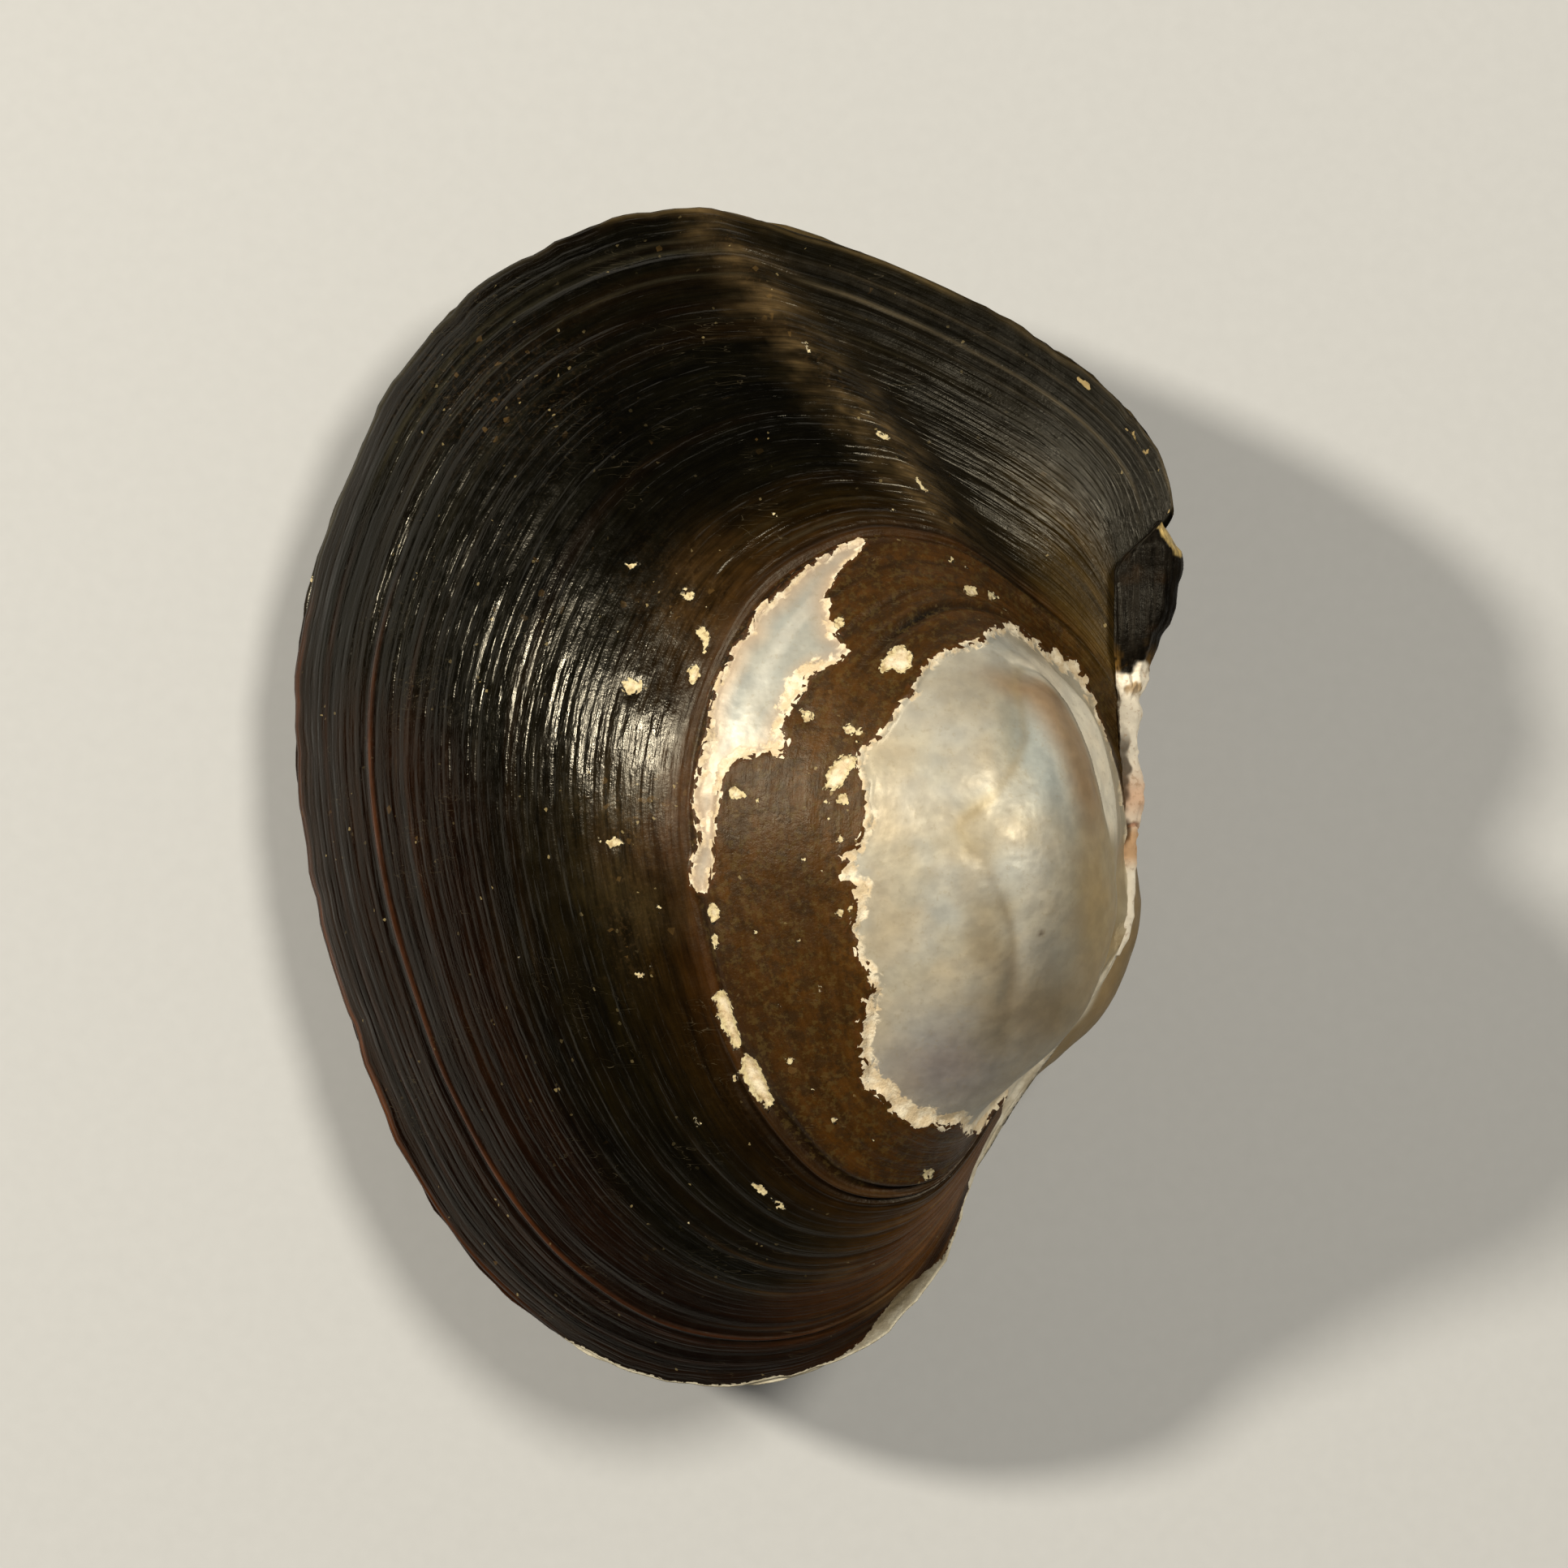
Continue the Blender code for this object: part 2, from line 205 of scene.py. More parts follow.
# ---- noise ----------------------------------------------------------------------------------------------------
def lattice(points, scale, seed):
    """Smooth noise, -1 to 1, that changes over about this distance. scale may differ for each coordinate."""
    table = np.random.default_rng(seed).random((32, 32, 32)) * 2.0 - 1.0
    p = np.asarray(points, float) / np.asarray(scale, float)
    i = np.floor(p).astype(int)
    f = p - i
    f = f * f * (3.0 - 2.0 * f)
    total = 0.0
    for dx in (0, 1):
        for dy in (0, 1):
            for dz in (0, 1):
                weight = (
                    (f[..., 0] if dx else 1 - f[..., 0])
                    * (f[..., 1] if dy else 1 - f[..., 1])
                    * (f[..., 2] if dz else 1 - f[..., 2])
                )
                total = total + weight * table[(i[..., 0] + dx) % 32, (i[..., 1] + dy) % 32, (i[..., 2] + dz) % 32]
    return total


def fractal(points, scale, seed, octaves=3):
    scale = np.asarray(scale, float)
    total, size = 0.0, 1.0
    for k in range(octaves):
        total = total + size * lattice(points, scale / 2.0**k, seed + 17 * k)
        size *= 0.5
    return total


def lin(red, green, blue):
    """A display colour, 0 to 255, as linear light."""
    c = np.array([red, green, blue], float) / 255.0
    return np.where(c <= 0.04045, c / 12.92, ((c + 0.055) / 1.055) ** 2.4)


# ---- the fine grid of one valve -------------------------------------------------------------------------------
ROWS, COLUMNS = 404, 232


def even_places(curve, count, low, high):
    """count places between low and high, evenly spaced along the curve(places)."""
    at = np.linspace(low, high, 4000)
    steps = np.linalg.norm(np.diff(curve(at), axis=0), axis=1)
    gone = np.concatenate([[0.0], np.cumsum(steps)])
    return np.interp(np.linspace(0.0, gone[-1], count), gone, at)


SIZES = even_places(lambda t: valve_surface(t, np.full(len(t), 0.5)), ROWS, 0.004, 1.0)
PLACES = even_places(lambda h: valve_surface(np.full(len(h), 0.72), h), COLUMNS, 0.0, 1.0)
T, H = np.meshgrid(SIZES, PLACES, indexing="ij")
BASE = valve_surface(T, H)
BASE[:, 0, 2] = SEAM
BASE[:, -1, 2] = SEAM
ACROSS = np.gradient(BASE, axis=0)
ROUND = np.gradient(BASE, axis=1)
NORMALS = np.cross(ROUND, ACROSS)
NORMALS /= np.linalg.norm(NORMALS, axis=-1, keepdims=True) + 1e-12
NORMALS *= np.sign(NORMALS[ROWS // 2, COLUMNS // 2, 2])
ALONG_MM = H * 190.0
GROW_MM = T * 72.0
LINES = np.stack([GROW_MM, ALONG_MM, np.zeros_like(T)], -1)  # the growth lines laid out straight
STEPS_MM = np.linalg.norm(np.diff(BASE, axis=0), axis=-1)
EDGE_MM = np.concatenate([np.cumsum(STEPS_MM[::-1], axis=0)[::-1], np.zeros((1, COLUMNS))])  # how far from the margin


def on_shell(points):
    """(size, along) of the places on the right valve that are seen at these frame positions."""
    view = seen(BASE)
    facing = ((EYE - BASE) * NORMALS).sum(-1) > 0.0
    d_across = np.gradient(view, SIZES, axis=0)
    d_round = np.gradient(view, PLACES, axis=1)
    found = []
    for x, y in points:
        away = (view[..., 0] - x) ** 2 + (view[..., 1] - y) ** 2
        away[~facing] += 1e6
        k = np.unravel_index(np.argmin(away), away.shape)
        matrix = np.stack([d_across[k], d_round[k]], 1)
        step = np.linalg.lstsq(matrix, np.array([x, y]) - view[k], rcond=0.05)[0]
        step = np.clip(step, -0.006, 0.006)
        found.append((np.clip(T[k] + step[0], 0.03, 1.0), np.clip(H[k] + step[1], 0.0, 1.0)))
    return np.array(found)


def dense(path, closed, step=0.004):
    path = np.asarray(path, float)
    if closed:
        path = np.vstack([path, path[:1]])
    out = []
    for a, b in zip(path[:-1], path[1:]):
        n = max(1, int(np.ceil(np.abs(b - a).max() / step)))
        out.append(a + (b - a) * np.linspace(0.0, 1.0, n, endpoint=False)[:, None])
    out.append(path[-1:])
    return np.vstack(out)


def inside(path, t, h):
    """True where (t, h) lies in the closed path of (t, h) places."""
    path = np.asarray(path, float)
    result = np.zeros(t.shape, bool)
    for (t0, h0), (t1, h1) in zip(path, np.roll(path, -1, axis=0)):
        if t0 == t1:
            continue
        between = (t0 > t) != (t1 > t)
        result ^= between & (h < (h1 - h0) * (t - t0) / (t1 - t0) + h0)
    return result


def reach(path, closed=False, limit=8.0):
    """Distance in millimetres from every point of the grid to the path over the surface."""
    fine = valve_surface(*dense(path, closed).T)
    keep = np.concatenate([[True], np.linalg.norm(np.diff(fine, axis=0), axis=1) > 1e-6])
    fine = fine[keep]
    flat = BASE.reshape(-1, 3)
    best = np.full(len(flat), limit)
    low, high = fine.min(0) - limit, fine.max(0) + limit
    near = np.where(((flat > low) & (flat < high)).all(1))[0]
    a, b = fine[:-1], fine[1:]
    ab = b - a
    length2 = (ab**2).sum(1) + 1e-12
    for chunk in np.array_split(near, max(1, len(near) // 4000)):
        p = flat[chunk][:, None]
        along = np.clip(((p - a) * ab).sum(-1) / length2, 0.0, 1.0)[..., None]
        d = np.linalg.norm(p - (a + along * ab), axis=-1).min(1)
        best[chunk] = np.minimum(best[chunk], d)
    return best.reshape(T.shape)


def patch(outline, border=None, limit=8.0):
    """Signed distance, negative inside, to a patch given by (t, h) places. border, if given, is the part of the outline
    that really is an edge; the rest runs off the surface."""
    d = reach(outline if border is None else border, closed=border is None, limit=limit)
    return np.where(inside(outline, T, H), -d, d)


# ---- outlines, as seen in the frame ----------------------------------------------------------------------------
UMBO_EDGE = [  # worn pearly umbo: its edge, from the lower end by the hinge up the left side and over to the hinge
    (1240, 1350), (1228, 1368), (1212, 1388), (1198, 1396), (1182, 1384), (1166, 1392), (1148, 1386), (1130, 1391),
    (1112, 1378), (1096, 1368), (1090, 1352), (1072, 1345), (1062, 1330), (1066, 1312), (1058, 1298), (1062, 1282),
    (1058, 1262), (1070, 1250), (1064, 1232), (1078, 1220), (1070, 1200), (1058, 1182), (1054, 1162), (1044, 1150),
    (1052, 1134), (1056, 1110), (1046, 1100), (1058, 1092), (1040, 1086), (1034, 1074), (1044, 1064), (1034, 1054),
    (1056, 1040), (1064, 1020), (1070, 1004), (1064, 985), (1066, 962), (1058, 948), (1056, 930), (1066, 916),
    (1082, 908), (1098, 884), (1108, 866), (1122, 852), (1130, 836), (1146, 812), (1160, 804), (1190, 792),
    (1212, 786), (1232, 771), (1244, 768), (1252, 776), (1262, 772), (1268, 786), (1282, 790), (1288, 802),
    (1302, 800), (1310, 812), (1326, 812), (1332, 826), (1344, 836), (1342, 852), (1354, 868), (1360, 888),
    (1366, 908),
]
CRESCENT = [
    (1062, 665), (1048, 668), (1020, 680), (990, 700), (962, 728), (930, 758), (924, 776), (905, 792), (897, 815),
    (884, 838), (878, 850), (872, 884), (873, 905), (862, 932), (856, 960), (851, 985), (858, 1010), (860, 1040),
    (848, 1066), (850, 1084), (858, 1102), (868, 1106), (872, 1090), (880, 1060), (881, 1020), (884, 985), (888, 962),
    (896, 948), (906, 940), (912, 934), (930, 932), (948, 926), (966, 930), (970, 912), (962, 896), (974, 872),
    (990, 848), (992, 836), (1004, 826), (1022, 820), (1036, 812), (1048, 799), (1040, 790), (1030, 780), (1022, 762),
    (1020, 732), (1030, 712), (1050, 690), (1066, 672),
]
CHALK_BITS = [  # small worn spots of several shapes
    [(874, 1112), (884, 1116), (886, 1132), (878, 1140), (872, 1126)],
    [(876, 1150), (886, 1156), (884, 1168), (876, 1164)],
    [(878, 1228), (892, 1222), (900, 1236), (906, 1262), (914, 1292), (904, 1296), (892, 1272), (882, 1250)],
    [(914, 1300), (930, 1304), (942, 1330), (952, 1362), (944, 1370), (926, 1346), (912, 1322)],
    [(1094, 806), (1110, 794), (1122, 800), (1124, 820), (1110, 830), (1098, 824), (1086, 828), (1084, 812)],
    [(1018, 952), (1030, 936), (1042, 930), (1058, 934), (1048, 948), (1042, 962), (1030, 974), (1016, 972)],
    [(894, 974), (904, 968), (914, 976), (916, 986), (902, 986)],
    [(856, 770), (868, 772), (876, 792), (868, 796)],
    [(846, 826), (860, 820), (864, 834), (850, 844)],
    [(832, 724), (848, 726), (858, 736), (846, 740)],
    [(770, 690), (784, 692), (790, 700), (776, 700)],
    [(1122, 592), (1130, 594), (1140, 610), (1134, 614)],
    [(1076, 536), (1092, 538), (1090, 546), (1078, 544)],
    [(982, 422), (990, 424), (998, 438), (990, 438)],
    [(760, 842), (774, 836), (792, 842), (786, 856), (770, 854)],
    [(1188, 724), (1202, 724), (1206, 734), (1194, 736)],
    [(1220, 728), (1230, 734), (1226, 742), (1218, 736)],
    [(1028, 762), (1042, 760), (1040, 772), (1030, 774)],
    [(926, 1460), (942, 1462), (948, 1474), (934, 1470)],
    [(950, 1480), (966, 1484), (968, 1490), (954, 1488)],
    [(1140, 1440), (1152, 1442), (1148, 1452), (1138, 1450)],
    [(434, 512), (446, 504), (458, 508), (448, 520)],
    [(986, 874), (1000, 876), (1002, 888), (990, 892)],
    [(748, 1036), (762, 1030), (768, 1042), (754, 1046)],
    [(1024, 1376), (1032, 1380), (1028, 1388)],
    [(966, 1300), (978, 1304), (974, 1312), (966, 1308)],
    [(852, 1376), (864, 1380), (860, 1386)],
]
DOTS = [  # (frame x, frame y, radius in mm) of still smaller chalk specks
    (1040, 985, 0.40), (1045, 898, 0.32), (1060, 900, 0.28), (1018, 990, 0.20), (1035, 1035, 0.22), (905, 1000, 0.16),
    (934, 985, 0.14), (870, 800, 0.2), (826, 760, 0.14), (812, 1120, 0.16), (738, 1036, 0.14), (800, 1190, 0.2),
    (788, 1200, 0.24), (1056, 914, 0.14), (1020, 1010, 0.14), (1034, 1126, 0.22), (1048, 1120, 0.16), (868, 748, 0.12),
    (957, 633, 0.14), (1098, 630, 0.13), (1170, 692, 0.18), (1190, 700, 0.12), (1238, 750, 0.13), (760, 780, 0.10),
    (705, 760, 0.12), (690, 505, 0.10), (640, 470, 0.08), (520, 395, 0.12), (1012, 520, 0.12), (960, 400, 0.1),
    (880, 1120, 0.2), (1000, 1345, 0.12), (905, 1330, 0.14), (1075, 1405, 0.14), (1035, 1290, 0.12), (985, 1160, 0.10),
    (1010, 1220, 0.1), (960, 1240, 0.1), (930, 1150, 0.1), (1012, 1075, 0.12), (990, 1060, 0.1), (640, 1180, 0.1),
    (620, 1335, 0.1), (735, 1500, 0.09), (560, 960, 0.1), (850, 1510, 0.1), (1075, 1560, 0.1), (1170, 1450, 0.12),
]
DOME = [  # the inner dome of the worn umbo: the lower layer inside the broken step
    (1262, 818), (1254, 842), (1264, 868), (1269, 904), (1260, 931), (1242, 959), (1228, 980), (1208, 996), (1190, 1008),
    (1184, 1020), (1196, 1045), (1214, 1063), (1226, 1097), (1239, 1121), (1250, 1155), (1252, 1195), (1250, 1222),
    (1244, 1262), (1236, 1300), (1240, 1350),
]
DOME_FLANK = [(1262, 818), (1282, 826), (1300, 842), (1320, 868), (1336, 900), (1350, 940), (1361, 980), (1372, 1040)]
RIDGE = [(870, 250), (930, 350), (1000, 440), (1085, 540), (1130, 600), (1180, 670), (1240, 740), (1300, 800)]


# ---- painting in growth coordinates ---------------------------------------------------------------------------
def ramp(value, stops):
    """Colour by value, through (value, colour) stops."""
    at = np.array([s[0] for s in stops], float)
    colours = np.array([s[1] for s in stops])
    return np.stack([np.interp(value, at, colours[:, k]) for k in range(3)], -1)


def over(base, colour, amount):
    return base + (np.asarray(colour) - base) * np.clip(amount, 0.0, 1.0)[..., None]


def spot(px, py, rx, ry, turn=0.0):
    """A soft blob over the places seen round (px, py) from the front, radii in frame units."""
    a = math.radians(turn)
    x, y = VIEW[..., 0] - px, VIEW[..., 1] - py
    u, v = x * math.cos(a) + y * math.sin(a), -x * math.sin(a) + y * math.cos(a)
    return np.exp(-((u / rx) ** 2 + (v / ry) ** 2))


VIEW = seen(BASE)
FACING = ease(((EYE - BASE) * NORMALS).sum(-1) / VIEW_DISTANCE, -0.15, 0.1)


def skin_colour(seed):
    """The horny skin's colour: banded along the growth lines, with zones."""
    t, h = T, H
    wander = 0.010 * fractal(BASE, 9.0, seed + 5, 2)
    tw = t + wander
    base = ramp(
        tw,
        [
            (0.00, lin(84, 60, 28)), (0.46, lin(82, 57, 25)), (0.53, lin(74, 50, 20)), (0.553, lin(60, 40, 16)),
            (0.565, lin(86, 56, 21)), (0.60, lin(70, 50, 18)), (0.65, lin(44, 37, 16)), (0.74, lin(28, 26, 13)),
            (0.84, lin(25, 22, 11)), (0.93, lin(25, 20, 11)), (1.0, lin(26, 20, 12)),
        ],
    )
    # behind: near black, then grey-brown past the ridge
    dark = ease(h, 0.50, 0.60) * ease(t, 0.58, 0.68)
    base = over(base, lin(21, 20, 11), 0.85 * dark)
    slope = ease(h - RIDGE_AT, -0.004, 0.018)
    base = over(base, lin(41, 36, 24), 0.9 * slope * ease(t, 0.5, 0.62) * (1.0 - 0.45 * ease(t, 0.80, 0.88)))
    base = over(base, lin(62, 52, 33), 0.7 * slope * (1.0 - ease(t, 0.74, 0.84)) * ease(h, 0.86, 0.93))
    # the reddish outer part below and in front
    inner = np.interp(h, [0.0, 0.22, 0.30, 0.336, 0.39, 0.45, 0.51, 0.56], [0.62, 0.66, 0.80, 0.79, 0.76, 0.755, 0.745, 0.80])
    red = ease(tw - inner, -0.03, 0.05) * (1.0 - ease(h, 0.53, 0.565))
    base = over(base, lin(48, 25, 10), 0.9 * red)
    front = (1.0 - ease(h, 0.20, 0.31)) * ease(t, 0.575, 0.64) * (1.0 - 0.5 * ease(t, 0.86, 0.94))
    base = over(base, lin(84, 58, 28), 0.85 * front)
    # the worn band on the posterior ridge, broken into short dashes
    dashes = ease(fractal(LINES, (0.9, 3.2, 1.0), seed + 19, 2), -0.35, 0.55)
    band = gauss(RIDGE_MM, 0.5, 1.6) * ease(t, 0.56, 0.62) * (0.35 + 0.65 * dashes) * (0.75 + 0.5 * fractal(BASE, 0.55, seed + 29, 3)) * np.clip(0.7 + 0.5 * fractal(BASE, 1.2, seed + 20, 3), 0.0, 1.2)
    orange = gauss(t, 0.575, 0.016) * ease(h, 0.38, 0.43) * (1.0 - ease(h, 0.53, 0.57))
    base = over(base, lin(120, 76, 28), 0.3 * orange)
    # growth bands of several widths
    wide = fractal(LINES, (4.0, 80.0, 1.0), seed + 11, 3)
    narrow = fractal(LINES, (1.1, 30.0, 1.0), seed + 12, 2)
    thin = lattice(LINES, (0.5, 16.0, 1.0), seed + 13)
    inner_part = 1.0 - 0.6 * ease(0.565 - t, -0.01, 0.01)
    level = 1.0 + inner_part * (0.24 * wide + 0.24 * narrow + 0.20 * thin) + 0.16 * (1.0 - inner_part) * fractal(BASE, 2.4, seed + 18, 3)
    outer = ease(t, 0.80, 0.92)
    level = level + outer * 0.30 * lattice(LINES, (0.8, 60.0, 1.0), seed + 14)
    base = base * np.clip(level, 0.35, 2.1)[..., None]
    brown = np.clip(fractal(LINES, (1.6, 50.0, 1.0), seed + 15, 2) - 0.15, 0.0, 1.0) * ease(t, 0.58, 0.66) * (1.0 - 0.7 * slope)
    base = over(base, lin(66, 40, 18), (0.30 + 0.35 * red) * brown)
    # soft olive patches further out
    olive = np.clip(fractal(BASE, 8.0, seed + 16, 2), 0.0, 1.0) * ease(t, 0.60, 0.66) * (1.0 - ease(t, 0.72, 0.80)) * (1.0 - ease(h, 0.55, 0.62))
    base = over(base, lin(52, 44, 16), 0.6 * olive)
    within = ease(0.565 - t, -0.01, 0.01)
    lighter = np.maximum(within, 0.9 * front)
    lighter = np.maximum(lighter, 1.5 * slope * ease(h, 0.84, 0.90) * (1.0 - ease(t, 0.78, 0.86)))
    base = base * (
        np.array([0.17, 0.15, 0.08]) + lighter[..., None] * np.array([0.44, 0.34, 0.14]) + front[..., None] * np.array([0.68, 0.48, 0.10])
    )
    base = over(base, lin(94, 76, 48), 0.72 * np.clip(band, 0.0, 1.0))
    dash = ease(lattice(LINES, (0.7, 5.0, 1.0), seed + 27), 0.30, 0.80) * front
    base = over(base, lin(112, 92, 62), 0.40 * dash)
    mottled = np.clip(0.55 + 0.5 * fractal(BASE, 1.5, seed + 17, 3), 0.0, 1.0) * FACING
    base = over(base, lin(58, 48, 27), mottled * (0.55 * spot(780, 1050, 85, 105)))
    base = over(base, lin(64, 44, 20), mottled * (0.55 * spot(850, 760, 55, 60) + 0.5 * spot(905, 690, 60, 40)))
    # lines that stand out: (size, half width, colour, strength, from, to)
    for size, half, colour, strength, low, high in (
        (0.893, 0.0030, lin(132, 76, 42), 0.75, 0.25, 0.585),
        (0.899, 0.0022, lin(16, 10, 6), 0.7, 0.24, 0.60),
        (0.846, 0.0025, lin(80, 48, 27), 0.55, 0.46, 0.58),
        (0.878, 0.0028, lin(28, 16, 8), 0.5, 0.27, 0.56),
        (0.912, 0.0022, lin(84, 46, 24), 0.4, 0.26, 0.40),
        (0.955, 0.0030, lin(74, 42, 22), 0.45, 0.28, 0.60),
        (0.970, 0.0022, lin(18, 11, 7), 0.5, 0.28, 0.62),
        (0.996, 0.0035, lin(140, 76, 28), 0.8, 0.36, 0.57),
        (0.930, 0.0030, lin(104, 92, 70), 0.75, 0.79, 0.96),
        (0.945, 0.0028, lin(14, 12, 8), 0.6, 0.78, 0.97),
        (0.962, 0.0022, lin(84, 72, 52), 0.5, 0.80, 0.97),
        (0.905, 0.0022, lin(70, 62, 46), 0.45, 0.79, 0.95),
        (0.885, 0.0020, lin(14, 12, 8), 0.5, 0.78, 0.95),
        (0.868, 0.0020, lin(62, 56, 42), 0.45, 0.79, 0.95),
        (0.959, 0.0024, lin(92, 86, 66), 0.5, 0.62, 0.76),
        (0.947, 0.0022, lin(70, 66, 50), 0.45, 0.62, 0.78),
        (0.916, 0.0022, lin(66, 62, 46), 0.45, 0.60, 0.79),
        (0.860, 0.0022, lin(46, 42, 30), 0.45, 0.60, 0.80),
        # the dark lines along the first growth stop are partly its own dark bands and partly painted shade in its
        # creases; the pale line at 0.567 is painted sheen on the small ridge below them; the dark and pale arcs above
        # the crescent (0.575 to 0.613, from 0.64 on) are partly band colour and partly painted shade and painted
        # highlight on their ridges
        (0.559, 0.0050, lin(7, 5, 3), 0.9, 0.18, 0.90),
        (0.549, 0.0110, lin(5, 4, 2), 0.95, 0.19, 0.375),
        (0.567, 0.0030, lin(74, 66, 48), 0.35, 0.24, 0.37),
        (0.577, 0.0040, lin(6, 5, 3), 0.9, 0.20, 0.38),
        (0.575, 0.0028, lin(8, 6, 4), 0.7, 0.66, 0.84),
        (0.590, 0.0022, lin(12, 9, 4), 0.5, 0.20, 0.36),
        (0.588, 0.0022, lin(84, 76, 58), 0.4, 0.68, 0.80),
        (0.600, 0.0025, lin(12, 9, 5), 0.5, 0.64, 0.84),
        (0.613, 0.0022, lin(60, 52, 32), 0.35, 0.64, 0.80),
        (0.458, 0.0038, lin(9, 6, 3), 0.9, 0.655, 0.81),
        (0.486, 0.0025, lin(20, 13, 6), 0.65, 0.60, 0.80),
        (0.505, 0.0025, lin(110, 70, 30), 0.35, 0.62, 0.76),
        (0.520, 0.0030, lin(24, 16, 7), 0.55, 0.56, 0.82),
        (0.625, 0.0030, lin(30, 19, 9), 0.4, 0.20, 0.34),
        (0.660, 0.0030, lin(32, 20, 10), 0.4, 0.20, 0.36),
        (0.705, 0.0030, lin(28, 18, 9), 0.4, 0.20, 0.34),
        (0.735, 0.0030, lin(112, 84, 52), 0.35, 0.20, 0.33),
        (0.790, 0.0025, lin(112, 84, 52), 0.30, 0.18, 0.31),
        (0.871, 0.0030, lin(112, 84, 52), 0.35, 0.18, 0.30),
    ):
        here = ease(h, low - 0.02, low + 0.03) * (1.0 - ease(h, high - 0.03, high + 0.02))
        broken = 0.75 + 0.4 * lattice(LINES, (3.0, 9.0, 1.0), seed + int(size * 1000))
        dim = 0.30 if high < 0.62 and low > 0.22 else 0.55
        base = over(base, colour * dim, strength * here * broken * gauss(t + 0.15 * wander, size, half))
    # the thin margin: tan and worn behind
    lip = (1.0 - ease(EDGE_MM, 0.10, 0.65)) * ease(h, 0.69, 0.73)
    base = over(base, lin(82, 68, 42), 0.7 * lip * (0.45 + 0.75 * lattice(LINES, (0.7, 2.4, 1.0), seed + 31)))
    lip = (1.0 - ease(EDGE_MM, 0.1, 0.6)) * ease(h, 0.56, 0.60) * (1.0 - ease(h, 0.68, 0.72))
    base = over(base, lin(70, 66, 54), 0.5 * lip)
    rusty = 0.8 * spot(835, 985, 30, 45) + 0.45 * spot(800, 1040, 50, 40)
    base = over(base, lin(72, 44, 22), 0.8 * rusty * (0.6 + 0.5 * fractal(BASE, 1.0, seed + 32, 2)) * FACING)
    return np.clip(base, 0.0, 1.0)


def pearl_colour(seed):
    """The pearly layer's colour where the skin is gone."""
    silver, cream = lin(188, 187, 177), lin(194, 183, 158)
    base = np.zeros(BASE.shape) + silver
    mottle = fractal(BASE, 2.6, seed + 41, 3)
    base = over(base, cream, 0.4 + 0.5 * mottle)
    base = base * (1.0 + 0.07 * fractal(BASE, 1.1, seed + 42, 2))[..., None]
    # the right part by the hinge turns tan, the bottom lilac grey, the left warm cream
    base = over(base, lin(168, 146, 102), 0.9 * FACING * spot(1362, 1110, 44, 190))
    base = over(base, lin(138, 120, 88), 0.8 * FACING * spot(1300, 1250, 85, 70))
    base = over(base, lin(140, 132, 132), 0.85 * FACING * spot(1165, 1320, 90, 60, -10))
    base = over(base, lin(128, 112, 78), 0.5 * FACING * spot(1225, 1280, 40, 36))
    base = over(base, lin(184, 170, 142), 0.5 * FACING * spot(1090, 1060, 40, 200))
    # painted shade: darker olive in the trough along the upper end of the broken step
    base = over(base, lin(150, 136, 102), 0.75 * FACING * spot(1250, 890, 20, 56))
    base = over(base, lin(168, 150, 112), 0.45 * FACING * spot(1206, 1030, 30, 44, 20))
    base = over(base, lin(142, 126, 98), 0.6 * FACING * spot(1218, 1165, 26, 95, -12))
    base = over(base, lin(176, 186, 184), 0.8 * FACING * spot(1285, 925, 34, 80, -22))
    base = over(base, lin(152, 142, 122), 0.6 * FACING * spot(1205, 840, 70, 44))
    # the crescent is bluish white with pale streaks that follow the growth lines
    near = np.clip(-CRESCENT_MM / 1.6, 0.0, 1.0) * FACING
    streak = ease(lattice(LINES, (0.9, 16.0, 1.0), seed + 44), -0.2, 0.7)[..., None]
    cool = lin(184, 185, 176) + (lin(210, 208, 196) - lin(184, 185, 176)) * streak
    base = np.where((CRESCENT_MM < 0.3)[..., None], over(np.zeros(BASE.shape) + lin(196, 172, 144), cool * 0.90, near), base)
    base = over(base, lin(150, 134, 104), 0.7 * (1.0 - FACING))
    return np.clip(base * 0.87, 0.0, 1.0)


# ---- measured once on the right valve --------------------------------------------------------------------------
umbo_edge = on_shell(UMBO_EDGE)
HINGE_END = [(0.32, 0.885), (0.28, 0.872), (0.24, 0.866), (0.21, 0.876), (0.19, 0.93), (0.18, 1.0)]
umbo_outline = np.vstack(
    [umbo_edge, HINGE_END + [(0.18, 1.06), (-0.1, 1.06), (-0.1, -0.06), (1.1, -0.06), (1.1, 0.130),
      (0.90, 0.132), (0.78, 0.136), (0.70, 0.140)]]
)
umbo_border = np.vstack([[(1.0, 0.130), (0.90, 0.132), (0.78, 0.136), (0.70, 0.140)], umbo_edge, HINGE_END])
UMBO_MM = patch(umbo_outline, umbo_border)
CRESCENT_MM = patch(on_shell(CRESCENT), limit=5.0)
dome_edge = on_shell(DOME)
flank = on_shell(DOME_FLANK)
DOME_STEP_MM = reach(dome_edge, limit=5.0)
dome_outline = np.vstack([dome_edge, [(0.30, 0.20), (0.0, 0.20), (-0.1, 0.9), (0.2, 0.80)], flank[::-1]])
IN_DOME = inside(dome_outline, T, H)
FLANK_MM = reach(flank, limit=5.0)
IN_FLANK = H < np.interp(T, flank[::-1, 0], flank[::-1, 1])
ridge = on_shell(RIDGE)
RIDGE_MM = reach(ridge, limit=9.0)
order = np.argsort(ridge[:, 0])
RIDGE_AT = np.interp(T, ridge[order, 0], ridge[order, 1])
flecks = np.full(T.shape, 3.0)
for outline in CHALK_BITS:
    flecks = np.minimum(flecks, patch(on_shell(outline), limit=3.0))
dots = on_shell([d[:2] for d in DOTS])
for (t0, h0), (_, _, radius) in zip(dots, DOTS):
    centre = valve_surface(t0, h0)
    flecks = np.minimum(flecks, np.linalg.norm(BASE - centre, axis=-1) - radius)
FLECK_MM = flecks


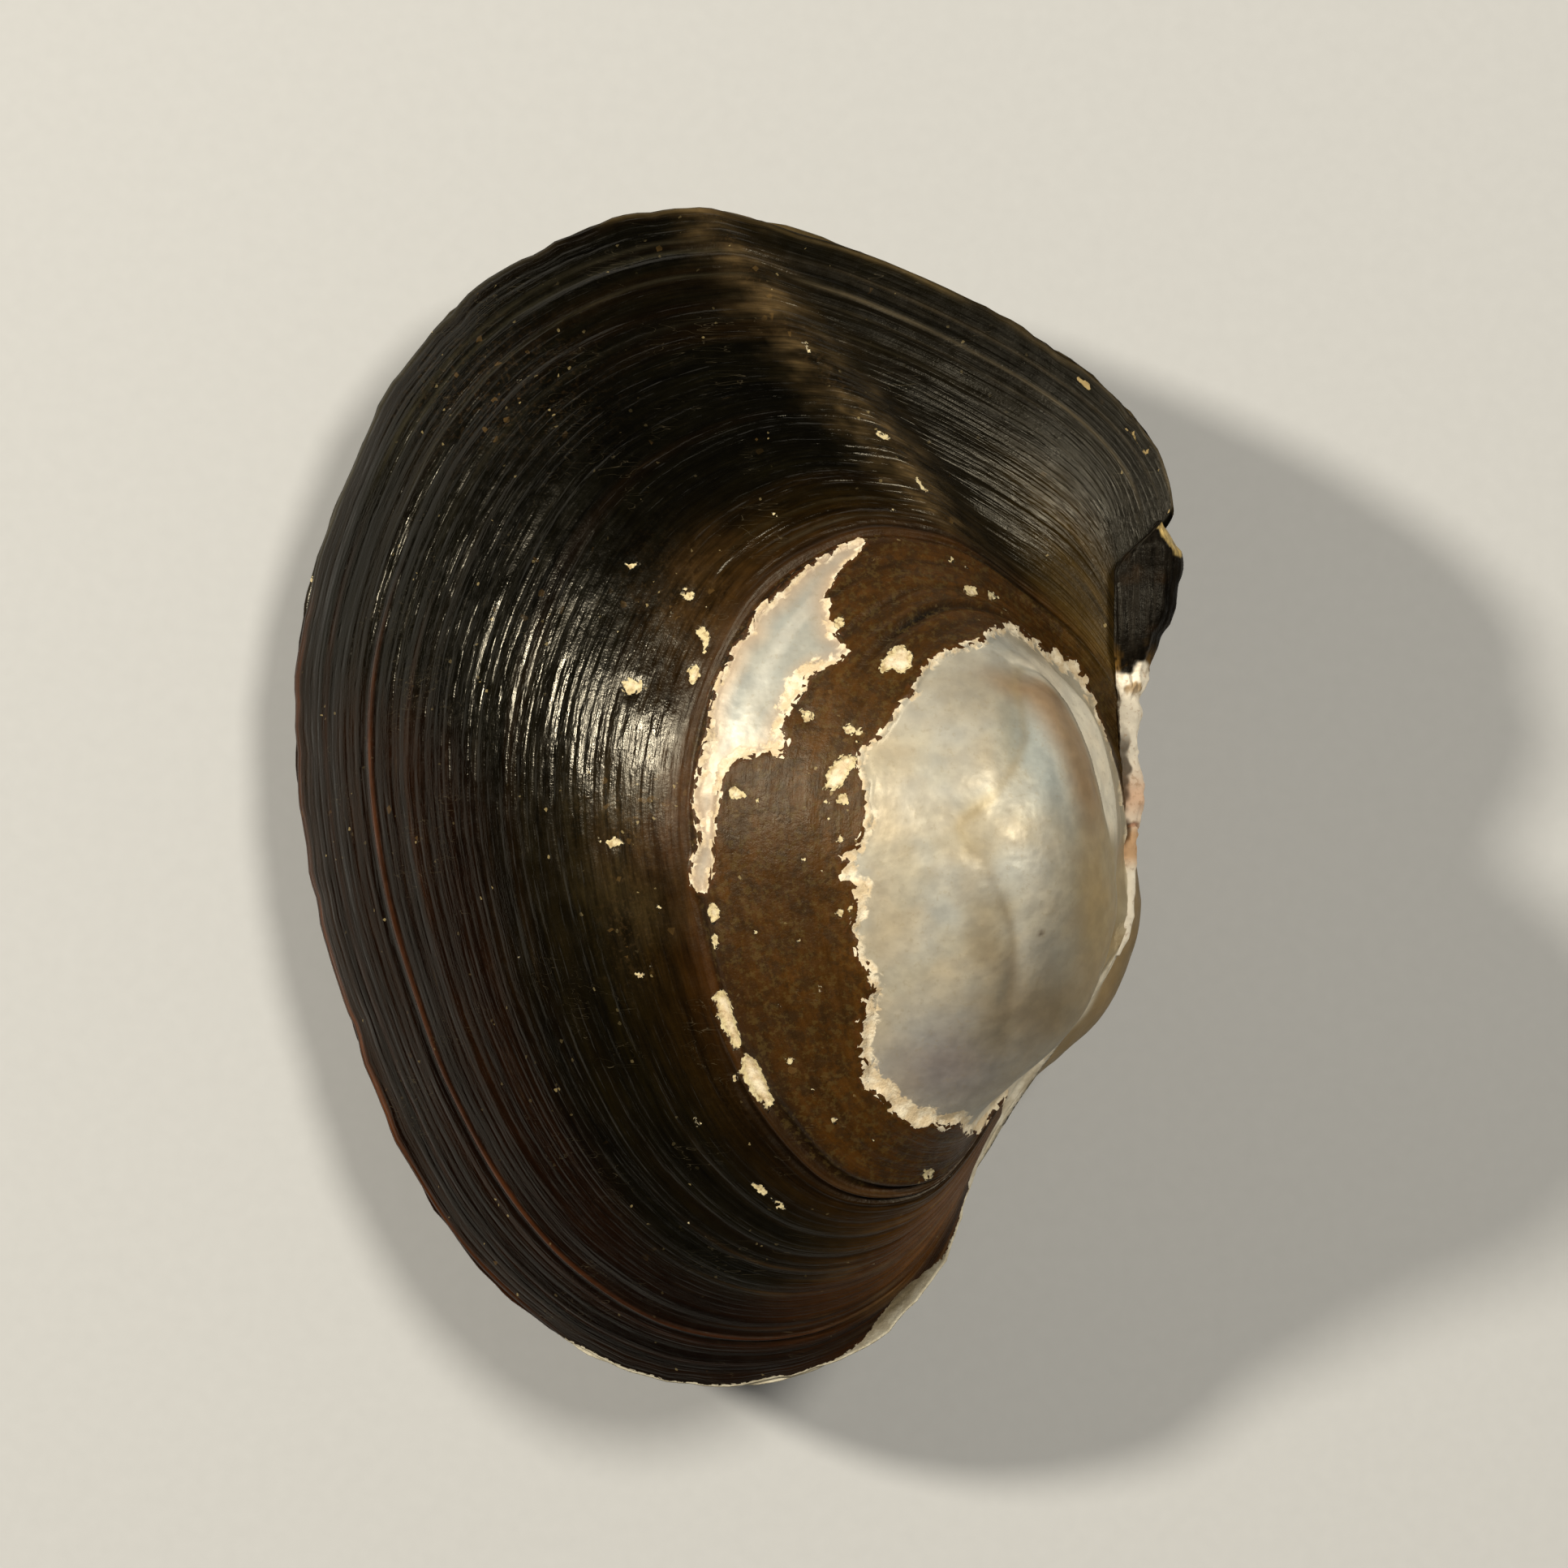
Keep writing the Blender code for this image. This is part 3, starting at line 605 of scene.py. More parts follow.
def seam_strip(seed):
    """Distance to the worn strips where the two valves meet: along the hinge, in front of the beak and at the margin."""
    wave = 0.14 * lattice(BASE, 1.4, seed)
    low = BASE[..., 2] - SEAM
    hinge = ease(BASE[..., 1], 2.4, 3.4) * (1.0 - ease(BASE[..., 1], 14.4, 15.6)) * (H > 0.9) * (BASE[..., 0] > -6.0)
    front = ease(-BASE[..., 1], -1.5, 0.5) * (1.0 - ease(-BASE[..., 1], 17.0, 21.0)) * (H < 0.3)
    wide = 0.3 * hinge + (0.80 + 1.0 * gauss(BASE[..., 1], -9.5, 3.2) + 0.4 * gauss(BASE[..., 1], -14.0, 2.5)) * front
    strip = low - wide + wave + 2.0 * (1.0 - np.clip(hinge + front, 0.0, 1.0))
    edge_wide = 0.20 * ease(H, 0.12, 0.17) * (1.0 - ease(H, 0.33, 0.36)) + 1.35 * gauss(H, 0.229, 0.017)
    margin = EDGE_MM - edge_wide + 0.10 * lattice(LINES, (30.0, 2.6, 1.0), seed + 1) + 1.0 * (edge_wide < 0.02)
    worn_edge = np.abs(EDGE_MM - 0.8) - 0.20 + 1.2 * (1.0 - ease(lattice(LINES, (1.0, 1.1, 1.0), seed + 2), -0.05, 0.45)) + 3.0 * (1.0 - ease(H, 0.86, 0.9))
    return np.minimum(np.minimum(strip, margin), worn_edge)


def build_valve(name, side, seed):
    """One valve as a closed fine mesh. side is 1 for the right valve and -1 for the left."""
    if side > 0:
        umbo, crescent, fleck = UMBO_MM, CRESCENT_MM, FLECK_MM
    else:
        # the left valve is worn in the same way, along other edges
        shift = 1.3 * fractal(BASE, 7.0, seed, 3) * ease(H, 0.15, 0.26)
        umbo = UMBO_MM + shift - 0.4 - 1.2 * (1.0 - ease(H, 0.30, 0.40))
        crescent = CRESCENT_MM + 0.9 * fractal(BASE, 4.0, seed + 1, 2) + 0.9
        fleck = np.minimum(FLECK_MM + 0.9, 1.5 - 3.4 * np.clip(fractal(BASE, 2.3, seed + 2, 2) - 0.55, 0.0, 1.0))
    bare = np.minimum(umbo, crescent)
    strip = seam_strip(seed + 3)

    # shape: rests between growth seasons, fine ridges, slow unevenness, and the steps where layers are worn off
    rest = np.zeros(T.shape)
    for size, half, height, low, high in (
        (0.5615, 0.0050, -0.34, 0.12, 0.93), (0.546, 0.014, 0.12, 0.15, 0.92), (0.577, 0.0045, -0.40, 0.18, 0.40),
        (0.553, 0.0070, -0.52, 0.17, 0.38), (0.567, 0.0030, 0.12, 0.18, 0.38), (0.466, 0.0040, 0.12, 0.64, 0.82),
        (0.590, 0.0035, -0.12, 0.18, 0.38), (0.575, 0.0035, -0.16, 0.64, 0.86), (0.600, 0.004, -0.12, 0.64, 0.86),
        (0.458, 0.0045, -0.24, 0.64, 0.82), (0.486, 0.004, -0.12, 0.60, 0.82), (0.893, 0.0045, 0.13, 0.20, 0.60),
        (0.901, 0.0040, -0.12, 0.20, 0.62), (0.846, 0.0045, 0.07, 0.40, 0.60), (0.938, 0.0040, 0.10, 0.70, 0.97),
        (0.948, 0.0040, -0.12, 0.70, 0.97), (0.966, 0.0040, 0.07, 0.55, 0.97), (0.915, 0.0040, 0.07, 0.60, 0.90),
        (0.625, 0.0050, -0.06, 0.15, 0.36), (0.660, 0.0050, -0.06, 0.15, 0.38), (0.705, 0.0050, -0.05, 0.15, 0.36),
        (0.735, 0.0050, 0.05, 0.15, 0.35), (0.80, 0.0050, -0.04, 0.15, 0.40), (0.871, 0.0050, 0.05, 0.15, 0.32),
    ):
        here = ease(H, low - 0.04, low + 0.04) * (1.0 - ease(H, high - 0.04, high + 0.04))
        rest += height * here * gauss(T + 0.0016 * lattice(LINES, (40.0, 9.0, 1.0), seed + 7), size, half)
    covered = ease(np.minimum(bare, 1.0), -0.1, 0.25)
    lines = 0.045 * fractal(LINES, (1.5, 30.0, 1.0), seed + 8, 2) + 0.026 * lattice(LINES, (0.6, 16.0, 1.0), seed + 9)
    lines += 0.05 * ease(T, 0.78, 0.92) * lattice(LINES, (1.0, 40.0, 1.0), seed + 10)
    lines = lines * (1.0 - 0.75 * (1.0 - ease(H, 0.20, 0.32)))
    rest = rest * (1.0 - 0.6 * (1.0 - ease(H, 0.18, 0.30)) * ease(T, 0.60, 0.63))
    slow = 0.20 * lattice(BASE, 12.0, seed + 21) + 0.09 * lattice(BASE, 5.0, seed + 22)
    rough = 0.05 * fractal(BASE, 2.2, seed + 23, 2)
    crest = 0.42 * gauss(RIDGE_MM, 0.0, 1.7) * ease(T, 0.5, 0.65) - 0.20 * gauss(RIDGE_MM, 3.2, 1.6) * (H > RIDGE_AT) * ease(T, 0.5, 0.65)
    worn = -0.30 * (1.0 - ease(umbo, -0.45, 0.02)) - 0.24 * (1.0 - ease(crescent, -0.40, 0.02))
    worn -= 0.10 * (1.0 - ease(fleck, -0.15, 0.1))
    # the dome: a broken layer ends along its upper left edge, a soft crease below, a steep flank by the hinge
    into = np.where(IN_DOME, DOME_STEP_MM, -DOME_STEP_MM)
    broken_part = 1.0 - ease(VIEW[..., 1], 1010.0, 1090.0)
    dome = -0.24 * broken_part * gauss(into, 0.3, 1.5)
    dome = dome - 0.22 * (1.0 - broken_part) * gauss(into, 0.0, 0.8) * (1.0 - ease(VIEW[..., 1], 1240.0, 1330.0))
    flank = np.where(IN_FLANK, FLANK_MM, -FLANK_MM)
    beside = 1.0 - ease(FLANK_MM, 2.2, 4.5)
    fades = ease(VIEW[..., 1], 812.0, 860.0) * (1.0 - ease(VIEW[..., 1], 975.0, 1030.0))
    dome = dome + fades * beside * (0.30 * ease(flank, -0.3, 1.8) - 0.35 * (1.0 - ease(flank, -1.0, -0.3)))
    pearly = (1.0 - covered) * 0.035 * fractal(BASE, 1.3, seed + 24, 2)
    up = (rest + lines + 0.6 * rough) * covered + slow + crest + worn + dome + pearly
    held = ease(BASE[..., 2] - SEAM, 0.0, 1.2)  # the edges where the valves meet stay put
    points = BASE + NORMALS * (up * held)[..., None]

    # an uneven margin
    outward = ACROSS.copy()
    outward[..., 2] = 0.0
    outward /= np.linalg.norm(outward, axis=-1, keepdims=True) + 1e-9
    ragged = 0.16 * lattice(LINES * (0, 1, 0), (1.0, 3.1, 1.0), seed + 25) + 0.12 * lattice(LINES * (0, 1, 0), (1.0, 1.3, 1.0), seed + 26)
    edge = ease(T, 0.955, 1.0) * ease(H, 0.10, 0.20) * (1.0 - ease(H, 0.93, 0.98))
    if side > 0:
        for px, py, out in ((535, 386, 0.35), (443, 512, -0.3), (1255, 398, 0.3), (455, 495, 0.25)):
            ragged = ragged + out * np.exp(-(((VIEW[..., 0] - px) / 16.0) ** 2 + ((VIEW[..., 1] - py) / 16.0) ** 2))
    points = points + outward * (ragged * edge)[..., None]

    # lip rows past the margin, bringing the valves together
    lip1 = points[-1] - outward[-1] * 0.06
    lip1[:, 2] = 0.07
    lip2 = points[-1] - outward[-1] * 0.35
    lip2[:, 2] = 0.02
    points = np.concatenate([points, lip1[None], lip2[None]])
    rows = ROWS + 2

    # the inside, coarse: the outer surface moved in by the wall
    inner_rows = [int(np.argmin(np.abs(SIZES - s))) for s in (0.965, 0.92, 0.85, 0.75, 0.65, 0.55, 0.46, 0.38, 0.30)]
    inner = BASE[inner_rows] - NORMALS[inner_rows] * WALL
    inner[..., 0] = np.minimum(inner[..., 0], -0.2)
    along = H[inner_rows]
    pull = 0.30 * (1.0 - ease(along, 0.12, 0.24)) + 0.16 * ease(along, 0.82, 0.92)
    inner = inner + (np.array([-25.0, 2.0, 5.0]) - inner) * pull[..., None]
    inner[..., 2] = np.clip(inner[..., 2], 0.02, np.maximum(0.55 * BASE[inner_rows][..., 2] - 0.1, 0.03))

    tip = points[0].mean(0)
    verts = np.concatenate([points.reshape(-1, 3), inner.reshape(-1, 3), tip[None], inner[-1].mean(0)[None]])
    verts[:, 2] *= side
    n_out = rows * COLUMNS
    tip_index, inner_tip = len(verts) - 2, len(verts) - 1

    def quads(start, n_rows):
        i = start + np.arange(n_rows - 1)[:, None] * COLUMNS + np.arange(COLUMNS - 1)[None]
        return np.stack([i, i + 1, i + COLUMNS + 1, i + COLUMNS], -1).reshape(-1, 4)

    outer_faces = quads(0, rows)
    inner_faces = quads(n_out, len(inner_rows))[:, ::-1]
    lip_start = (rows - 1) * COLUMNS
    join = np.arange(COLUMNS - 1)
    rim_faces = np.stack([lip_start + join, lip_start + join + 1, n_out + join + 1, n_out + join], -1)
    faces = [tuple(f) for f in np.concatenate([outer_faces, inner_faces, rim_faces])]
    faces += [(tip_index, c + 1, c) for c in range(COLUMNS - 1)]
    last = n_out + (len(inner_rows) - 1) * COLUMNS
    faces += [(inner_tip, last + c, last + c + 1) for c in range(COLUMNS - 1)]

    def side_strip(column, flip):
        """Closes the hinge edge between the outer rows and the inner rows."""
        outer = [tip_index] + [r * COLUMNS + column for r in range(rows)]
        inside_line = [inner_tip] + [n_out + r * COLUMNS + column for r in range(len(inner_rows) - 1, -1, -1)]
        i = j = 0
        made = []
        while i < len(outer) - 1 or j < len(inside_line) - 1:
            if j == len(inside_line) - 1 or (i < len(outer) - 1 and i / (len(outer) - 1) <= j / (len(inside_line) - 1)):
                tri = (outer[i], outer[i + 1], inside_line[j])
                i += 1
            else:
                tri = (outer[i], inside_line[j + 1], inside_line[j])
                j += 1
            made.append(tri[::-1] if flip else tri)
        return made

    faces += side_strip(0, False) + side_strip(COLUMNS - 1, True)
    if side > 0:
        faces = [f[::-1] for f in faces]

    placed = world(verts)
    placed[:, 2] = np.maximum(placed[:, 2], 0.0)
    mesh = bpy.data.meshes.new(name)
    mesh.from_pydata(placed.tolist(), [], faces)
    mesh.validate()
    mesh.shade_smooth()

    # attributes that the material reads
    def padded(grid):
        grid = np.concatenate([grid, grid[-1:], grid[-1:]])
        tail = np.repeat(grid[-1:], len(inner_rows), 0)
        flat = np.concatenate([grid.reshape(-1, *grid.shape[2:]), tail.reshape(-1, *grid.shape[2:])])
        return np.concatenate([flat, flat[:1], flat[:1]])

    def put(attribute, grid):
        values = padded(np.asarray(grid, float))
        if values.ndim == 2:
            made = mesh.attributes.new(attribute, "FLOAT_COLOR", "POINT")
            made.data.foreach_set("color", np.concatenate([values, np.ones((len(values), 1))], 1).astype(np.float32).ravel())
        else:
            made = mesh.attributes.new(attribute, "FLOAT", "POINT")
            made.data.foreach_set("value", values.astype(np.float32).ravel())

    skin = skin_colour(seed)
    pearl = pearl_colour(seed) if side > 0 else pearl_colour(seed) * 0.94
    # painted brown shade on the dome's steep flank and a painted shadow line in the groove at its foot, the paler ledge
    # past it, the broken layer's yellowish edge, two small pits
    shaded = ease(VIEW[..., 1], 800.0, 850.0) * (1.0 - ease(VIEW[..., 1], 960.0, 1070.0)) * FACING
    pearl = over(pearl, lin(142, 112, 76), 0.8 * shaded * ease(flank, -0.4, 0.5) * (1.0 - ease(flank, 2.2, 4.6)))
    pearl = over(pearl, lin(80, 60, 38), 0.5 * fades * gauss(flank, -0.4, 0.28))
    pearl = over(pearl, lin(234, 226, 206), 0.95 * ease(-flank, 0.5, 0.9) * (1.0 - ease(VIEW[..., 1], 1010.0, 1050.0)) * ease(VIEW[..., 1], 790.0, 830.0) * (FLANK_MM < 4.9) * FACING)
    pearl = over(pearl, lin(70, 52, 36), 0.85 * gauss(np.linalg.norm(BASE - PIT, axis=-1), 0.0, 0.22))
    pearl = over(pearl, lin(110, 96, 76), 0.6 * gauss(np.linalg.norm(BASE - PIT2, axis=-1), 0.0, 0.13))
    pearl = over(pearl, lin(196, 172, 118), 0.4 * gauss(into, -0.2, 0.60) * spot(1205, 1003, 36, 36) * FACING)
    # painted shade along the upper broken step, on the terrace edge that faces away from the light
    pearl = over(pearl, lin(150, 134, 102), 0.4 * gauss(into, -0.1, 0.35) * broken_part * FACING)
    # painted shade in the soft crease below the step
    pearl = over(pearl, lin(112, 96, 70), 0.5 * gauss(into, 0.0, 0.40) * spot(1245, 1150, 34, 110) * FACING)
    low = BASE[..., 2] - SEAM
    hollow = (1.0 - ease(H, 0.20, 0.26)) * ease(T, 0.30, 0.45)
    pearl = over(pearl, lin(228, 220, 200), 0.9 * hollow)
    pearl = over(pearl, lin(150, 134, 104), 0.45 * hollow * ease(fractal(BASE, 1.6, seed + 51, 2), 0.1, 0.6))
    pearl = over(pearl, lin(212, 200, 172), 0.9 * (1.0 - ease(low, 0.5, 1.1)) * ease(H, 0.9, 0.95))
    pearl = over(pearl, lin(108, 98, 78), (1.0 - ease(EDGE_MM, 2.0, 3.0)) * ease(H, 0.17, 0.20))
    pearl = over(pearl, lin(150, 130, 88), (1.0 - ease(EDGE_MM, 2.0, 3.0)) * ease(H, 0.6, 0.7))
    pearl = over(pearl, lin(156, 150, 134), 0.8 * (1.0 - ease(EDGE_MM, 0.3, 1.1)) * ease(H, 0.17, 0.20) * (1.0 - ease(H, 0.4, 0.5)))
    pearl = over(pearl, lin(222, 214, 190), 0.8 * (1.0 - ease(EDGE_MM, 0.08, 0.26)) * ease(H, 0.12, 0.15) * (1.0 - ease(H, 0.5, 0.6)))
    if side < 0:
        # the left umbo shows tan past the right one, with a cream line where the two come close
        tan = ease(H, 0.16, 0.22) * (1.0 - ease(H, 0.60, 0.72)) * (1.0 - ease(T, 0.44, 0.52))
        pearl = over(pearl, lin(150, 126, 84), 0.92 * tan)
        pearl = over(pearl, lin(112, 92, 58), 0.7 * tan * gauss(BASE[..., 2], 9.6, 1.6))
        pearl = over(pearl, lin(222, 212, 188), 0.9 * tan * (1.0 - ease(BASE[..., 2], 5.2, 6.4)))
    put("skin", skin)
    put("pearl", pearl)
    put("grow", GROW_MM)
    put("along", ALONG_MM)
    put("bare", bare)
    put("fleck", fleck)
    put("strip", strip)
    rim = 0.32 + 0.85 * spot(1120, 1370, 130, 50) + 0.75 * spot(1062, 1290, 26, 80) + 0.6 * spot(1300, 812, 70, 50)
    rim = rim + 0.45 * spot(1050, 1090, 30, 70) + 0.95 * spot(985, 870, 45, 70) + 0.5 * spot(905, 945, 34, 40)
    rim = rim * (1.0 - 0.9 * spot(1374, 950, 28, 90))
    put("rim", rim)
    scuff = 0.9 * spot(800, 990, 75, 60) + 0.6 * spot(840, 740, 60, 60) + 0.8 * spot(1045, 960, 45, 70) + 0.5 * spot(780, 1130, 40, 80)
    scuff = scuff + 0.5 * spot(1010, 800, 40, 60) + 0.5 * spot(910, 985, 30, 30) + 0.35 * spot(960, 1330, 80, 60) + 0.4 * spot(600, 480, 120, 80)
    scuff = scuff + 0.5 * gauss(RIDGE_MM, 0.0, 0.8) * (T > 0.6)
    put("scuff", np.clip(scuff, 0.0, 1.0))
    matte = 1.0 - ease(T, 0.555, 0.60)
    front = (1.0 - ease(H, 0.25, 0.42)) * ease(T, 0.56, 0.62)
    slope = ease(H - RIDGE_AT, 0.0, 0.03) * ease(T, 0.56, 0.60) * (1.0 - 0.8 * spot(1325, 650, 55, 45))
    put("dull", np.clip(matte + front + (0.45 + 0.35 * ease(H, 0.87, 0.93)) * slope, 0.0, 1.0))
    obj = bpy.data.objects.new(name, mesh)
    bpy.context.scene.collection.objects.link(obj)
    return obj


PIT = valve_surface(*on_shell([(1287, 1153)])[0])
PIT2 = valve_surface(*on_shell([(1245, 996)])[0])


# ---- materials ------------------------------------------------------------------------------------------------
class Nodes:
    """Short names for making a material's nodes."""

    def __init__(self, name):
        self.material = bpy.data.materials.new(name)
        self.material.use_nodes = True
        self.tree = self.material.node_tree
        self.tree.nodes.clear()

    def node(self, kind, **inputs):
        made = self.tree.nodes.new(kind)
        for key, value in inputs.items():
            if key.startswith("set_"):
                setattr(made, key[4:], value)
        for key, value in inputs.items():
            if key.startswith("set_"):
                continue
            socket = made.inputs[int(key[1:])] if key[0] == "i" and key[1:].isdigit() else made.inputs[key.replace("_", " ")]
            if isinstance(value, bpy.types.NodeSocket):
                self.tree.links.new(value, socket)
            else:
                socket.default_value = value
        return made

    def value(self, attribute):
        return self.node("ShaderNodeAttribute", set_attribute_name=attribute).outputs["Fac"]

    def colour(self, attribute):
        return self.node("ShaderNodeAttribute", set_attribute_name=attribute).outputs["Color"]

    def math(self, operation, a, b=0.0, c=0.0, clamp=False):
        return self.node("ShaderNodeMath", set_operation=operation, set_use_clamp=clamp, i0=a, i1=b, i2=c).outputs[0]

    def add(self, a, b):
        return self.math("ADD", a, b)

    def mul(self, a, b):
        return self.math("MULTIPLY", a, b)

    def span(self, x, low, high, to_low=0.0, to_high=1.0, smooth=True):
        kind = "SMOOTHSTEP" if smooth else "LINEAR"
        made = self.node("ShaderNodeMapRange", set_interpolation_type=kind)
        for i, v in enumerate((x, low, high, to_low, to_high)):
            if isinstance(v, bpy.types.NodeSocket):
                self.tree.links.new(v, made.inputs[i])
            else:
                made.inputs[i].default_value = v
        return made.outputs[0]

    def noise(self, vector, scale, detail=2.0, roughness=0.5, distortion=0.0):
        made = self.node("ShaderNodeTexNoise", Scale=scale, Detail=detail, Roughness=roughness, Distortion=distortion)
        self.tree.links.new(vector, made.inputs["Vector"])
        return made.outputs["Fac"]

    def mix(self, factor, a, b, blend="MIX"):
        made = self.node("ShaderNodeMix", set_data_type="RGBA", set_blend_type=blend)
        for i, v in ((0, factor), (6, a), (7, b)):
            if isinstance(v, bpy.types.NodeSocket):
                self.tree.links.new(v, made.inputs[i])
            elif i == 0:
                made.inputs[0].default_value = v
            else:
                made.inputs[i].default_value = (*v, 1.0)
        return made.outputs[2]

    def combine(self, x, y, z=0.0):
        return self.node("ShaderNodeCombineXYZ", X=x, Y=y, Z=z).outputs[0]

    def finish(self, shader):
        out = self.node("ShaderNodeOutputMaterial")
        self.tree.links.new(shader, out.inputs["Surface"])
        return self.material


def valve_material(name):
    n = Nodes(name)
    where = n.node("ShaderNodeNewGeometry").outputs["Position"]
    place = n.node("ShaderNodeVectorMath", set_operation="SCALE", i0=where, Scale=1000.0).outputs[0]  # millimetres
    grow, along = n.value("grow"), n.value("along")
    scuff = n.value("scuff")

    def streaks(across, along_mm, detail=2.0, roughness=0.5):
        """Noise drawn out along the growth lines: across and along_mm are its sizes in mm."""
        return n.noise(n.combine(n.mul(grow, 1.0 / across), n.mul(along, 1.0 / along_mm)), 1.0, detail, roughness)

    def cells(scale, seed):
        """A random value for each small angular cell; scale is cells to the millimetre."""
        moved = n.node("ShaderNodeVectorMath", set_operation="ADD", i0=place, i1=(seed, 0.37 * seed, -0.71 * seed)).outputs[0]
        made = n.node("ShaderNodeTexVoronoi", set_feature="F1", Scale=scale, Randomness=1.0)
        n.tree.links.new(moved, made.inputs["Vector"])
        return n.node("ShaderNodeSeparateColor", Color=made.outputs["Color"]).outputs[0]

    fine = streaks(0.42, 7.0, 3.0, 0.6)
    finest = streaks(0.20, 3.2, 2.0, 0.6)
    broad = streaks(2.0, 24.0, 3.0, 0.55)
    patchy = streaks(1.1, 3.4, 2.0, 0.55)
    grain = n.noise(place, 3.2, 3.0, 0.6)
    small = n.noise(place, 1.1, 3.0, 0.55)
    large = n.noise(place, 0.16, 2.0, 0.5)
    # fine even threads, 0.7 mm apart, that come and go
    phase = n.add(n.mul(grow, 2.0 * math.pi / 0.72), n.mul(streaks(3.0, 40.0, 1.0), 9.0))
    thread = n.math("POWER", n.add(n.mul(n.math("SINE", phase), 0.5), 0.5), 2.5)
    thread = n.mul(thread, n.span(patchy, 0.36, 0.60, 0.15, 1.0))

    # ---- horny skin
    even = n.math("SUBTRACT", 1.0, n.mul(n.value("dull"), 0.6))
    level = n.add(1.0, n.mul(even, n.add(n.span(fine, 0.3, 0.7, -0.45, 0.35, False), n.span(finest, 0.3, 0.7, -0.28, 0.28, False))))
    level = n.mul(level, n.span(broad, 0.3, 0.7, 0.72, 1.25, False))
    level = n.mul(level, n.span(large, 0.3, 0.7, 0.80, 1.18, False))
    level = n.mul(level, n.span(n.noise(place, 1.3, 4.0, 0.65), 0.3, 0.7, 0.82, 1.18, False))
    skin = n.mix(1.0, n.colour("skin"), n.combine(level, level, level), "MULTIPLY")
    young = n.span(grow, 40.9, 40.2)  # within the first growth stop
    blots = n.mul(n.span(n.noise(place, 0.85, 5.0, 0.72), 0.46, 0.60), young)
    skin = n.mix(n.mul(blots, 0.55), skin, tuple(lin(34, 23, 9)))
    skin = n.mix(n.mul(n.mul(n.span(n.noise(place, 1.9, 4.0, 0.7), 0.50, 0.62), young), 0.35), skin, tuple(lin(84, 68, 34)))
    skin = n.mix(n.mul(n.mul(n.span(fine, 0.60, 0.80), n.span(small, 0.45, 0.62)), 0.22), skin, tuple(lin(64, 52, 32)))
    # pale chips of dried skin, tiny specks and a few scratches
    chip_spots = n.span(n.noise(place, 0.30, 2.0), 0.48, 0.68)
    gathered = n.mul(n.math("MULTIPLY", scuff, scuff), n.span(small, 0.40, 0.60))
    chips = n.span(n.add(cells(2.6, 11.0), n.add(n.mul(gathered, 0.10), n.mul(chip_spots, 0.004))), 0.9985, 1.004)
    skin = n.mix(n.mul(chips, 0.22), skin, tuple(lin(120, 92, 50)))
    tiny = n.span(n.add(cells(5.5, 3.0), n.add(n.mul(gathered, 0.04), n.mul(chip_spots, 0.004))), 0.9985, 1.003)
    skin = n.mix(n.mul(tiny, 0.5), skin, tuple(lin(160, 142, 98)))
    dusty = n.mul(n.span(grain, 0.50, 0.70), n.mul(scuff, 0.40))
    skin = n.mix(dusty, skin, tuple(lin(84, 64, 38)))
    turned = n.node("ShaderNodeMapping", Rotation=(0.3, 0.5, 0.8), Scale=(0.10, 1.6, 0.9))
    n.tree.links.new(place, turned.inputs["Vector"])
    scratch = n.noise(turned.outputs[0], 1.0, 2.0, 0.4, 1.2)
    line = n.mul(n.span(n.math("ABSOLUTE", n.add(scratch, -0.5)), 0.006, 0.0), n.span(n.noise(place, 0.21, 1.0), 0.56, 0.66))
    skin = n.mix(n.mul(line, 0.16), skin, tuple(lin(130, 118, 92)))

    # ---- pearl
    cloud = n.noise(place, 0.80, 3.0, 0.55)
    pearl = n.mix(n.span(cloud, 0.36, 0.66), n.mix(1.0, n.colour("pearl"), (0.86, 0.86, 0.87), "MULTIPLY"), n.colour("pearl"))
    tint = n.mix(n.span(n.noise(place, 0.32, 2.0), 0.42, 0.60), (1.0, 0.975, 0.94), (0.985, 0.99, 0.985))
    pearl = n.mix(1.0, pearl, tint, "MULTIPLY")
    pearl = n.mix(n.mul(n.span(n.noise(place, 2.4, 4.0, 0.65), 0.56, 0.66), 0.22), pearl, tuple(lin(140, 126, 98)))

    # ---- chalk: the ragged rim of the worn patches, and the flecks
    chalk = n.mix(n.span(small, 0.38, 0.66), tuple(lin(204, 184, 150)), tuple(lin(228, 216, 190)))
    chalk = n.mix(n.mul(n.span(grain, 0.54, 0.70), 0.35), chalk, tuple(lin(150, 116, 76)))
    yellow = n.mix(n.span(grain, 0.42, 0.62), tuple(lin(200, 186, 138)), tuple(lin(144, 122, 78)))

    coarse_cell, fine_cell = n.add(cells(1.7, 1.0), -0.5), n.add(cells(4.2, 2.0), -0.5)
    ragged = n.add(n.mul(coarse_cell, 0.50), n.mul(fine_cell, 0.10))
    ragged = n.add(ragged, n.mul(n.add(n.noise(place, 0.9, 3.0, 0.6), -0.5), 0.50))
    ragged = n.mul(ragged, n.span(n.value("rim"), 0.05, 0.30, 0.2, 1.0))
    edge = n.add(n.value("bare"), ragged)
    uncovered = n.span(edge, 0.02, -0.02)
    rim_wide = n.mul(n.value("rim"), n.span(n.noise(place, 0.7, 3.0, 0.7), 0.3, 0.7, 0.40, 1.50, False))
    rim_edge = n.add(n.add(n.value("bare"), rim_wide), n.add(n.mul(coarse_cell, 0.45), n.mul(fine_cell, 0.12)))
    rim = n.mul(n.span(rim_edge, -0.16, 0.22), uncovered)
    spot_edge = n.add(n.value("fleck"), n.add(n.mul(fine_cell, 0.16), n.mul(n.add(n.noise(place, 1.6, 2.0, 0.6), -0.5), 0.55)))
    spot_edge = n.add(spot_edge, n.mul(coarse_cell, 0.18))
    fleck = n.mul(n.span(spot_edge, 0.03, -0.03), n.math("SUBTRACT", 1.0, uncovered))
    strip_edge = n.add(n.value("strip"), n.add(n.mul(fine_cell, 0.12), n.mul(n.add(small, -0.5), 0.30)))
